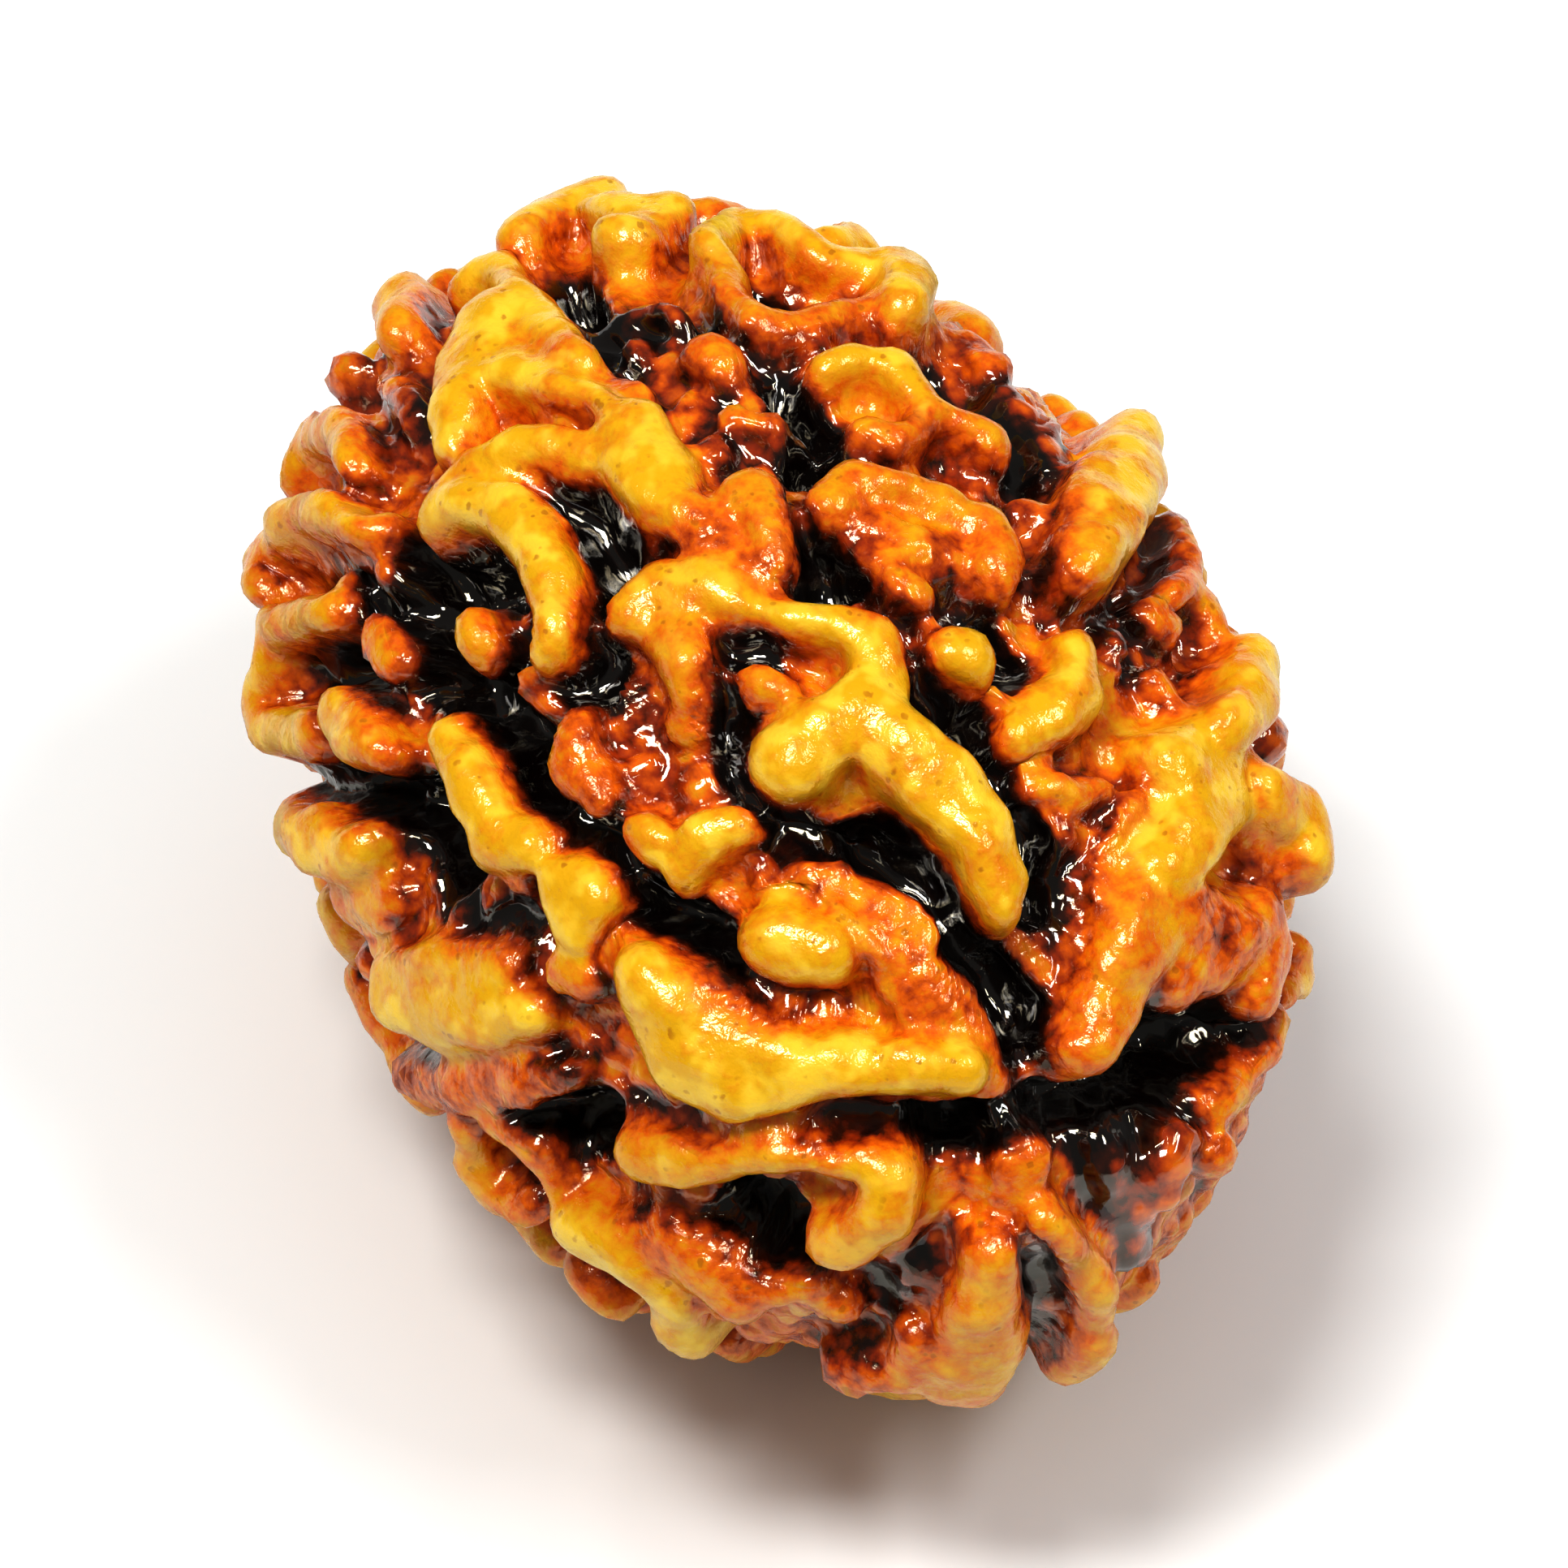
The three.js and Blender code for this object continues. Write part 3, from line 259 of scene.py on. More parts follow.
# Lobes: name, rise over the mean outer surface, tone from -0.1, gold, to 2.3, dark brown, and then
# the places of a spine: pixel x, pixel y, and half width in hundredths of a millimetre
HUNDREDTHS = 100
LOBES = (
    ("corner_knob", 0.3, 0.4, (492, 362, 66), (484, 408, 46)),
    ("corner_bead", 0.35, 0.8, (420, 455, 46)),
    ("corner_wall", -0.55, 1.5, (462, 430, 36), (500, 478, 40), (516, 524, 34)),
    ("upper_left_lump", 0.1, 0.6, (352, 585, 38), (378, 540, 48), (425, 525, 46), (440, 572, 36)),
    ("upper_left_crumb", -0.9, 1.6, (485, 560, 32), (474, 598, 28)),
    ("palm", 0.1, 0.0, (606, 395, 72), (590, 450, 84), (568, 515, 62), (560, 548, 42)),
    ("thumb", -0.05, 0.1, (620, 465, 58), (682, 482, 44), (742, 500, 30)),
    ("palm_back", -0.1, 0.3, (572, 352, 42), (612, 332, 42), (648, 364, 38), (684, 412, 34),
     (722, 446, 30)),
    ("palm_root", -0.5, 1.2, (705, 460, 30), (790, 496, 30)),
    ("palm_face", -0.22, 1.0, (650, 430, 52), (696, 452, 42)),
    ("top_shelf", 0.25, 0.1, (636, 292, 50), (684, 256, 60), (730, 244, 56), (768, 262, 50)),
    ("top_dome", 0.15, 0.1, (770, 296, 72), (805, 278, 80)),
    ("crest", 0.1, 0.1, (872, 308, 36), (912, 278, 44), (955, 286, 42), (1000, 312, 40), (1055, 330, 42),
     (1110, 335, 60)),
    ("crest_end", 0.4, 0.2, (1114, 335, 60), (1118, 374, 46)),
    ("pocket_left", -0.1, 0.6, (884, 330, 40), (902, 366, 36), (928, 400, 36)),
    ("pocket_foot", -0.15, 0.7, (930, 404, 34), (1000, 396, 36), (1072, 384, 36), (1105, 358, 40)),
    ("hollow_ledge", -0.5, 1.2, (716, 396, 15), (788, 372, 16), (850, 400, 16)),
    ("hollow_knob", -0.6, 1.2, (786, 432, 36)),
    ("middle_lump", -0.35, 0.9, (862, 440, 40), (894, 462, 48)),
    ("middle_chip", -0.45, 0.9, (902, 516, 32), (962, 530, 28)),
    ("long_oval", -0.1, 0.0, (1012, 452, 36), (1055, 446, 44), (1098, 454, 46), (1130, 480, 38),
     (1152, 504, 30)),
    ("right_shoulder_chip", -0.35, 1.0, (1196, 424, 32), (1222, 462, 40)),
    ("small_saddle", -0.25, 0.6, (1060, 522, 36), (1100, 542, 32), (1136, 524, 34)),
    ("shoulder_knob", -0.2, 0.7, (1165, 512, 30), (1215, 546, 52)),
    ("shoulder_dark", -0.45, 1.9, (1240, 500, 42), (1278, 548, 42), (1296, 596, 36)),
    ("crest_root", -0.55, 1.3, (1130, 414, 38), (1172, 420, 34)),
    ("low_shoulder_knob", -0.45, 1.0, (1254, 634, 38)),
    ("crumple_ridge", 0.1, 0.6, (1020, 626, 38), (1052, 594, 46), (1100, 596, 40)),
    ("crumple_back", 0.0, 0.8, (1120, 600, 38), (1162, 618, 44), (1206, 650, 42), (1240, 698, 42)),
    ("crumple_face", -0.2, 1.4, (1068, 664, 56), (1112, 704, 56), (1160, 690, 40)),
    ("crumple_step", -0.12, 0.9, (1086, 648, 30), (1110, 672, 28)),
    ("crumple_foot", -0.02, 0.8, (1100, 722, 32), (1136, 734, 34)),
    ("crumple_heel", 0.05, 0.7, (1214, 692, 40), (1238, 714, 36)),
    ("ear", 0.52, 0.2, (1396, 534, 56), (1390, 588, 76), (1368, 644, 72), (1348, 692, 50)),
    ("ear_rim", 0.3, 0.8, (1354, 560, 24), (1326, 620, 26), (1318, 674, 26), (1330, 716, 26)),
    ("second_ear", 0.05, 0.8, (1452, 642, 32), (1462, 690, 34), (1452, 735, 32)),
    ("second_ear_lump", -0.1, 0.6, (1472, 748, 42), (1490, 776, 38)),
    ("flank_chip", -0.5, 1.0, (1405, 764, 36), (1430, 790, 30)),
    ("flank_step", -0.8, 1.6, (1336, 742, 34)),
    ("bean", 0.6, 0.2, (1552, 808, 46), (1540, 850, 62), (1514, 895, 50)),
    ("leaf_ridge", -0.45, 0.7, (1424, 834, 32), (1446, 876, 33)),
    ("right_head", 0.15, -0.1, (1440, 945, 72), (1486, 932, 72), (1488, 980, 80), (1458, 1034, 68),
     (1436, 1064, 52)),
    ("edge_bulge", 0.55, 0.3, (1568, 985, 50), (1598, 1012, 72), (1606, 1060, 58)),
    ("edge_back", -0.2, 1.3, (1586, 910, 50)),
    ("edge_joint", -0.2, 0.9, (1524, 1010, 60), (1546, 1070, 62)),
    ("star", 0.0, 1.0, (1548, 1120, 48), (1556, 1180, 62), (1548, 1222, 55)),
    ("star_slope", -0.16, 1.2, (1442, 1130, 84), (1492, 1160, 86), (1540, 1150, 80), (1452, 1205, 60)),
    ("edge_sliver", -0.3, 0.4, (1598, 1165, 28), (1604, 1200, 30), (1590, 1240, 28)),
    ("hanging_ridge", -0.2, 0.8, (1584, 1246, 26), (1560, 1300, 32), (1524, 1342, 36), (1490, 1366, 34)),
    ("hanging_knob", 0.15, 0.8, (1500, 1430, 48)),
    ("gate_lobe", -0.08, 0.7, (1412, 1110, 68), (1392, 1170, 72), (1360, 1240, 68), (1330, 1296, 50)),
    ("gate_crest", -0.45, 0.6, (1392, 985, 20), (1370, 1040, 20), (1354, 1100, 20), (1356, 1155, 24)),
    ("gate_wall", -0.95, 1.5, (1330, 1065, 34), (1326, 1120, 34), (1330, 1180, 38), (1336, 1235, 40)),
    ("bank_crest", -0.4, 0.5, (1268, 976, 22), (1300, 966, 24), (1330, 985, 24), (1364, 972, 24)),
    ("bank_fork", -0.75, 1.3, (1282, 990, 18), (1312, 1036, 18), (1292, 1066, 18)),
    ("kidney", -0.1, 0.1, (1320, 806, 50), (1324, 848, 60), (1292, 884, 60), (1254, 904, 46)),
    ("pebble_egg", -0.05, 0.0, (1174, 802, 50), (1200, 814, 52)),
    ("kidney_chip", -0.6, 1.2, (1376, 792, 30)),
    ("hook_chip", -0.15, 0.2, (936, 838, 42), (962, 846, 36)),
    ("hook", 0.2, 0.0, (982, 935, 84), (1020, 900, 62), (1060, 880, 72), (1112, 925, 74), (1160, 968, 74),
     (1205, 1025, 62), (1232, 1086, 50), (1240, 1126, 38)),
    ("hook_arm", 0.0, 0.2, (962, 756, 30), (1022, 762, 36), (1076, 792, 50), (1082, 850, 60)),
    ("channel_pea", -0.22, 0.1, (796, 1030, 42), (808, 1040, 42)),
    ("channel_bean", -0.2, 0.1, (908, 1022, 44), (868, 1046, 54), (842, 1078, 40)),
    ("channel_egg", 0.15, 0.0, (948, 1162, 64), (1010, 1172, 62)),
    ("terrace_rim", -0.6, 0.5, (940, 1084, 16), (984, 1070, 18), (1030, 1072, 20), (1072, 1100, 24),
     (1116, 1118, 28), (1146, 1162, 30)),
    ("terrace", -0.42, 1.1, (1080, 1150, 58), (1120, 1200, 62), (1155, 1245, 66), (1190, 1290, 62),
     (1214, 1328, 48)),
    ("terrace_crest", -0.25, 0.3, (1010, 1088, 12), (1048, 1130, 12), (1088, 1186, 12)),
    ("boot", 0.2, 0.0, (798, 1200, 62), (828, 1252, 84), (866, 1300, 98), (912, 1316, 94),
     (965, 1318, 78), (1040, 1312, 60), (1110, 1312, 52), (1180, 1318, 58)),
    ("boot_back", 0.05, 0.6, (846, 1222, 56), (900, 1262, 62), (960, 1288, 52)),
    ("block", 0.0, 0.0, (700, 1098, 58), (736, 1100, 58), (718, 1132, 60)),
    ("block_wedge", -0.25, 0.8, (702, 1192, 46), (734, 1208, 44)),
    ("left_sill", 0.05, 0.1, (500, 1226, 72), (556, 1236, 90), (612, 1242, 80), (650, 1248, 46)),
    ("left_sill_fold", -0.1, 0.6, (476, 1196, 36), (540, 1180, 36), (620, 1184, 34)),
    ("left_brown_fold", -0.15, 1.1, (510, 1322, 46), (580, 1334, 52), (650, 1334, 46), (702, 1322, 36)),
    ("fold_pea", -0.65, 0.3, (722, 1312, 34)),
    ("lower_left_ring", 0.05, 0.5, (572, 1390, 44), (584, 1432, 40), (618, 1478, 38), (652, 1494, 34)),
    ("lower_left_bar", -0.15, 0.8, (612, 1388, 34), (660, 1422, 32), (684, 1462, 30)),
    ("finger", -0.1, 0.4, (788, 1420, 55), (842, 1428, 46), (902, 1432, 36), (962, 1430, 30),
     (1010, 1426, 28), (1060, 1430, 34)),
    ("paw", 0.2, 0.0, (714, 1514, 54), (772, 1542, 55), (828, 1592, 62), (848, 1632, 60),
     (858, 1654, 42)),
    ("paw_web", -0.2, 0.8, (900, 1612, 34), (960, 1592, 26), (1000, 1588, 26)),
    ("paw_back", 0.0, 0.6, (712, 1588, 50), (752, 1618, 40)),
    ("paw_face", -0.05, 1.0, (796, 1524, 66), (856, 1548, 70), (912, 1578, 54)),
    ("lower_boot", 0.05, 0.4, (1096, 1450, 62), (1090, 1490, 62), (1046, 1526, 55), (1010, 1545, 38)),
    ("wedge_lump", -0.5, 0.7, (1236, 1436, 42), (1282, 1424, 30), (1250, 1464, 32)),
    ("keel", 0.15, 0.6, (1226, 1546, 52), (1214, 1600, 70), (1198, 1652, 98), (1188, 1690, 84)),
    ("keel_side", 0.0, 0.9, (1132, 1656, 42), (1126, 1688, 42)),
    ("keel_back", 0.0, 1.4, (1030, 1690, 40), (1082, 1690, 38)),
    ("low_fold", -0.35, 0.8, (1002, 1592, 30), (1042, 1616, 33)),
    ("crescent", 0.05, 0.5, (1290, 1500, 36), (1326, 1532, 36), (1346, 1590, 40), (1346, 1650, 40),
     (1310, 1690, 36)),
    ("right_fibres", -0.6, 2.3, (1366, 1424, 58), (1384, 1482, 56), (1382, 1530, 46)),
    ("right_low_lobe", -0.2, 1.8, (1442, 1408, 48), (1430, 1460, 46)),
    ("valley_fibres", -1.0, 2.0, (1140, 1556, 55), (1112, 1620, 48)),
    ("left_arch", 0.3, 0.4, (324, 728, 36), (326, 686, 40), (356, 646, 44), (402, 632, 42),
     (440, 654, 36)),
    ("left_finger", 0.2, 0.5, (334, 776, 40), (370, 762, 42), (402, 752, 38)),
    ("left_crumb_a", -0.3, 0.8, (432, 732, 40)),
    ("left_crumb_b", -0.5, 1.1, (484, 716, 34)),
    ("left_wedge", -0.2, 0.8, (468, 778, 44), (488, 814, 44)),
    ("left_column", 0.25, 0.4, (328, 806, 34), (324, 860, 40), (334, 904, 45)),
    ("pale_lobe", 0.15, 0.2, (346, 902, 54), (386, 912, 44)),
    ("glossy_bean", 0.05, 0.2, (420, 870, 52), (448, 902, 60), (474, 934, 42)),
    ("lower_left_cheek", 0.25, 0.2, (362, 1014, 55), (402, 1040, 64), (440, 1050, 50)),
    ("left_jaw", -0.2, 0.9, (432, 1110, 45), (482, 1112, 50)),
    ("left_jaw_brown", -0.4, 1.5, (474, 1160, 40)),
    ("left_edge_fill", -0.1, 0.8, (450, 1192, 44)),
    ("long_ridge", 0.0, 0.1, (544, 905, 36), (575, 946, 46), (600, 992, 58), (618, 1034, 66),
     (656, 1046, 46)),
    ("ridge_foot", -0.45, 1.0, (644, 1090, 34)),
    ("ridge_wedge", -0.6, 0.5, (568, 1100, 28), (562, 1140, 22)),
    ("ridge_red", -0.6, 1.6, (672, 1050, 36)),
    ("arch_ridge", -0.05, 0.2, (546, 612, 30), (590, 572, 36), (640, 554, 40), (702, 562, 42),
     (750, 560, 50)),
    ("left_hook", 0.15, 0.1, (530, 645, 46), (575, 622, 50), (625, 630, 52), (660, 664, 58),
     (680, 712, 60), (690, 762, 46), (676, 806, 38)),
    ("left_hook_foot", -0.15, 0.3, (480, 655, 46)),
    ("pit_egg", 0.0, 0.0, (584, 768, 44), (590, 796, 46)),
    ("pit_chip", -0.45, 1.0, (652, 838, 34)),
    ("centre_mass", 0.02, 0.3, (776, 540, 72), (800, 590, 86), (842, 634, 62)),
    ("centre_gloss", -0.6, 1.5, (882, 562, 40)),
    ("flat_knob", 0.0, 0.7, (930, 615, 60), (946, 655, 48), (960, 690, 30)),
    ("centre_ramp", -0.18, 1.2, (816, 632, 50), (868, 668, 60), (920, 704, 52), (956, 748, 34)),
    ("triangle_brow", 0.0, 0.4, (762, 760, 36), (818, 732, 60), (872, 726, 60), (924, 742, 46)),
    ("triangle_foot", -0.08, 0.6, (836, 768, 80), (850, 820, 56), (848, 852, 32)),
    ("button", -0.5, 0.6, (848, 892, 42)),
    ("rough_lump", -0.25, 0.9, (716, 902, 44), (720, 948, 60), (746, 986, 48)),
    ("bubble_a", -0.95, 1.3, (796, 956, 26)),
    ("bubble_b", -0.95, 1.4, (860, 972, 30)),
)

# Furrows and pits: name, depth of the floor, and then the places of a path, as in the lobes
FURROWS = (
    ("black_line", 2.3, (470, 752, 39), (540, 842, 44), (580, 880, 42), (630, 905, 39), (665, 970, 39),
     (712, 1030, 36), (776, 1088, 34), (854, 1146, 39), (898, 1196, 39), (990, 1248, 34),
     (1040, 1282, 21)),
    ("upper_furrow", 2.3, (1262, 1240, 55), (1216, 1184, 49), (1150, 1100, 55), (1080, 1032, 60),
     (990, 1040, 36), (930, 985, 36)),
    ("left_furrow", 2.5, (1284, 1366, 36), (1150, 1385, 39), (1000, 1392, 36), (880, 1400, 29),
     (760, 1385, 39), (690, 1395, 59)),
    ("left_gap", 2.4, (335, 956, 26), (400, 962, 31), (470, 970, 44), (515, 1020, 60), (540, 1090, 34),
     (560, 1170, 34), (610, 1140, 31)),
    ("right_furrow", 2.5, (1284, 1366, 39), (1350, 1345, 31), (1400, 1310, 65), (1450, 1290, 68),
     (1520, 1278, 44), (1556, 1276, 21)),
    ("keel_gap", 2.2, (1284, 1540, 26), (1288, 1600, 34), (1282, 1660, 29)),
    ("paw_hollow", 2.4, (900, 1500, 52), (950, 1520, 62), (940, 1560, 39)),
    ("ring_pit", 1.6, (640, 1446, 39)),
    ("side_pit", 1.8, (650, 1385, 26), (700, 1400, 44)),
    ("hook_hollow", 2.3, (908, 800, 42), (908, 860, 34), (905, 930, 30)),
    ("left_pit", 2.3, (390, 695, 42), (440, 700, 30), (560, 700, 56), (610, 720, 54)),
    ("left_low_pit", 2.2, (380, 822, 47), (440, 838, 36)),
    ("black_bay", 2.3, (640, 610, 18), (735, 640, 34), (742, 700, 36), (716, 830, 39)),
    ("top_hollow", 2.3, (692, 322, 34), (704, 356, 40), (718, 394, 34), (744, 426, 26)),
    ("pocket", 1.7, (930, 338, 36), (975, 356, 34)),
    ("round_hole", 2.2, (1010, 556, 52)),
    ("wall_hole", 2.3, (1018, 690, 57)),
    ("shoulder_gap", 2.0, (1160, 440, 26), (1190, 480, 34)),
    ("kidney_channel", 2.0, (1176, 880, 26), (1222, 950, 23), (1270, 1030, 29), (1286, 1100, 23)),
    ("egg_ring", 1.9, (1130, 836, 16), (1190, 872, 18), (1250, 852, 18), (1256, 796, 16), (1212, 758, 16),
     (1146, 756, 16)),
    ("pea_ring", 1.9, (892, 1136, 13), (940, 1108, 12), (1010, 1104, 13), (1066, 1150, 14)),
    ("pit_ring", 2.2, (530, 760, 16), (548, 830, 16), (610, 842, 16), (640, 780, 14)),
    ("oval_gap", 2.0, (965, 450, 23), (985, 490, 31), (1020, 510, 21)),
)

# Where the three furrows meet, and where each leaves the picture round the rim of the stone
MEETING_PIXEL = (1290, 1355)
FURROW_EXITS = (
    ("left_furrow_back", 318, 955),
    ("right_furrow_back", 1566, 1278),
    ("upper_furrow_back", 722, 236),
)

TOWARDS_VIEWER = np.array((
    math.sin(VIEW_AZIMUTH) * math.cos(VIEW_ELEVATION),
    -math.cos(VIEW_AZIMUTH) * math.cos(VIEW_ELEVATION),
    math.sin(VIEW_ELEVATION),
))
PICTURE_RIGHT = np.array((math.cos(VIEW_AZIMUTH), math.sin(VIEW_AZIMUTH), 0.0))
PICTURE_UP = np.cross(TOWARDS_VIEWER, PICTURE_RIGHT)
VIEWER = TOWARDS_VIEWER * VIEW_DISTANCE
STONE_MIDDLE = np.array((0.0, 0.0, AXIS_HEIGHT)) * MILLIMETRE


def smooth_union(first, second, blend):
    """The lesser of two distances, less a fillet that grows where they are nearly equal."""
    overlap = np.maximum(blend - np.abs(first - second), 0.0) / blend
    return np.minimum(first, second) - overlap * overlap * blend / 4


def smooth_cut(body, tool, blend):
    """The body's distance with the tool taken out, with the same fillet."""
    return -smooth_union(-body, tool, blend)


def wave(x, y, z, frequency, phase):
    """A product of three sines, each bent by another: it wanders between -1 and 1."""
    slow = WAVE_SLOWNESS * frequency
    return (
        np.sin(frequency * x + WAVE_BEND * np.sin(slow * y + phase) + phase)
        * np.sin(frequency * y + WAVE_BEND * np.sin(slow * z + 2 * phase) + WAVE_PHASES[0])
        * np.sin(frequency * z + WAVE_BEND * np.sin(slow * x) + WAVE_PHASES[1] + phase)
    )


def unit(vector):
    """The vector made one unit long."""
    return vector / np.linalg.norm(vector)


def envelope(depth):
    """Semi-axes of the smooth envelope at a depth under the mean outer surface."""
    return np.array((HALF_LENGTH - depth, HALF_WIDTH - depth, HALF_WIDTH - depth))


def outward_normal(points):
    """The envelope's slope there, made one unit long."""
    slope = points / envelope(0.0) ** 2
    return slope / np.linalg.norm(slope, axis=-1, keepdims=True)


def on_envelope(direction, depth):
    """The direction stretched until it meets the envelope."""
    return direction / np.linalg.norm(direction / envelope(depth))


def seen_point(pixel_x, pixel_y, depth):
    """Where the line of sight through a pixel meets the envelope, or its rim if it misses."""
    axes = envelope(depth)
    sight = PICTURE_RIGHT * (pixel_x - PICTURE_CENTRE[0]) / PIXELS_PER_MM
    sight = sight - PICTURE_UP * (pixel_y - PICTURE_CENTRE[1]) / PIXELS_PER_MM
    sight = sight - TOWARDS_VIEWER * VIEW_DISTANCE
    start = VIEWER / axes
    run = sight / axes
    square = run @ run
    middle = start @ run
    root = math.sqrt(max(middle * middle - square * (start @ start - 1.0), 0.0))
    return on_envelope(VIEWER + sight * (-middle - root) / square, depth)


def cap_height(half_width):
    """Height of a lobe's rounded top over its spine: wide lobes are flatter."""
    return half_width * (1.0 - CAP_FLATTENING * half_width)


class Form:
    """A lobe or a furrow: a spine of places, each with a half width, and its colour tone."""

    def __init__(self, places, half_widths, tone=0.0):
        places = np.array(places)
        if len(places) == 1:
            places = np.repeat(places, 2, axis=0)
            half_widths = list(half_widths) * 2
        self.places = places
        self.normals = outward_normal(places)
        self.half_widths = np.array(half_widths)
        self.caps = cap_height(self.half_widths)
        self.tone = tone

    def corners(self, inwards, outwards):
        """Lowest and highest corner of all that the form can touch."""
        ends = np.concatenate((
            self.places - self.normals * inwards,
            self.places + self.normals * outwards,
        ))
        margin = self.half_widths.max() * (1.0 + FLARE) + REACH
        return ends.min(axis=0) - margin, ends.max(axis=0) + margin

    def distance(self, grid, measure):
        """Blends the distances to the spine's spans."""
        blended = None
        for i in range(len(self.places) - 1):
            span = measure(grid, self, i)
            blended = span if blended is None else smooth_union(blended, span, SPINE_BLEND)
        return np.minimum(blended, REACH)


def dot(first, second):
    """Dot product of two triples of numbers or of arrays."""
    return sum(a * b for a, b in zip(first, second))


def beside_span(grid, form, i):
    """Height over the span, distance aside from it, and the share of the way along it."""
    start = form.places[i]
    step = form.places[i + 1] - start
    turn = form.normals[i + 1] - form.normals[i]
    offset = [grid[axis] - start[axis] for axis in range(3)]
    share = np.clip(dot(offset, step) / max(step @ step, LEAST_LENGTH), 0.0, 1.0)
    aside = [offset[axis] - share * step[axis] for axis in range(3)]
    up = [form.normals[i][axis] + share * turn[axis] for axis in range(3)]
    height = dot(aside, up) / np.sqrt(dot(up, up))
    return height, np.sqrt(np.maximum(dot(aside, aside) - height * height, 0.0)), share


def along(values, i, share):
    """A spine value at a share of the way along span i."""
    return values[i] + share * (values[i + 1] - values[i])


def lobe_distance(grid, form, i):
    """Distance to a ridge with a flattened round top, whose flanks spread a little as they go down."""
    height, aside, share = beside_span(grid, form, i)
    half_width = along(form.half_widths, i, share)
    spread = 1.0 + FLARE * np.clip(-height / FLARE_DEPTH, 0.0, 1.0)
    over = np.maximum(height, 0.0) * half_width / along(form.caps, i, share)
    across = (aside**CAP_SQUARENESS + over**CAP_SQUARENESS) ** (1.0 / CAP_SQUARENESS)
    return np.maximum(across - half_width * spread, -height - LOBE_DEPTH)


def furrow_distance(grid, form, i):
    """Distance to a channel with a round floor and walls that open outwards."""
    height, aside, share = beside_span(grid, form, i)
    opening = FURROW_FLARE * np.maximum(height, 0.0)
    return np.hypot(aside, np.minimum(height, 0.0)) - along(form.half_widths, i, share) - opening


def furrow_from_places(depth, places, half_widths):
    """A furrow whose spine runs one half width over its floor."""
    places = np.array(places)
    lift = (np.array(half_widths) - depth)[:, None]
    return Form(places + outward_normal(places) * lift, half_widths)


def spine_widths(spine):
    """The half widths in a row of a table, in millimetres."""
    return [width / HUNDREDTHS for _x, _y, width in spine]


def picture_lobes():
    """Every lobe of the photographed side, from its pixels."""
    forms = []
    for _name, rise, tone, *spine in LOBES:
        places = [seen_point(x, y, cap_height(w / HUNDREDTHS) - rise) for x, y, w in spine]
        forms.append(Form(places, spine_widths(spine), tone))
    return forms


def picture_furrows():
    """Every furrow and pit of the photographed side, from its pixels."""
    forms = []
    for _name, depth, *path in FURROWS:
        places = [on_envelope(seen_point(x, y, VALLEY_DEPTH / 2), 0.0) for x, y, _width in path]
        forms.append(furrow_from_places(depth, places, spine_widths(path)))
    return forms


def hidden_furrows():
    """Each furrow runs on from the rim of the picture round the hidden side to the far end."""
    far_pole = -on_envelope(seen_point(*MEETING_PIXEL, 0.0), 0.0)
    end = unit(far_pole)
    forms = []
    for _name, x, y in FURROW_EXITS:
        leave = unit(seen_point(x, y, 0.0))
        places = []
        for i in range(FURROW_STEPS):
            share = i / (FURROW_STEPS - 1)
            direction = leave + (end - leave) * share
            direction[1] += FURROW_SWAY * wave(i, x, y, 1, 0)
            places.append(on_envelope(direction, 0.0))
        forms.append(furrow_from_places(HIDDEN_FURROW_DEPTH, places, [HIDDEN_FURROW_WIDTH] * FURROW_STEPS))
    forms.append(furrow_from_places(HIDDEN_FURROW_DEPTH, [far_pole], [STALK_SCAR_WIDTH]))
    return forms


def seeded_draws(seed, count):
    """A row of numbers from 0 to 1 by a mixing of 32 bit whole numbers."""
    state = seed
    first, second, last = DRAW_SHIFTS
    draws = []
    for _ in range(count):
        state = (state + DRAW_STEP) & WORD_MASK
        mixed = ((state ^ (state >> first)) * (state | 1)) & WORD_MASK
        again = ((mixed ^ (mixed >> second)) * (mixed | DRAW_ODD)) & WORD_MASK
        mixed ^= (mixed + again) & WORD_MASK
        draws.append(((mixed ^ (mixed >> last)) & WORD_MASK) / (WORD_MASK + 1))
    return draws


def either_way(draw, most):
    """A draw from 0 to 1 spread from minus the most to the most."""
    return (draw - 0.5) * 2.0 * most


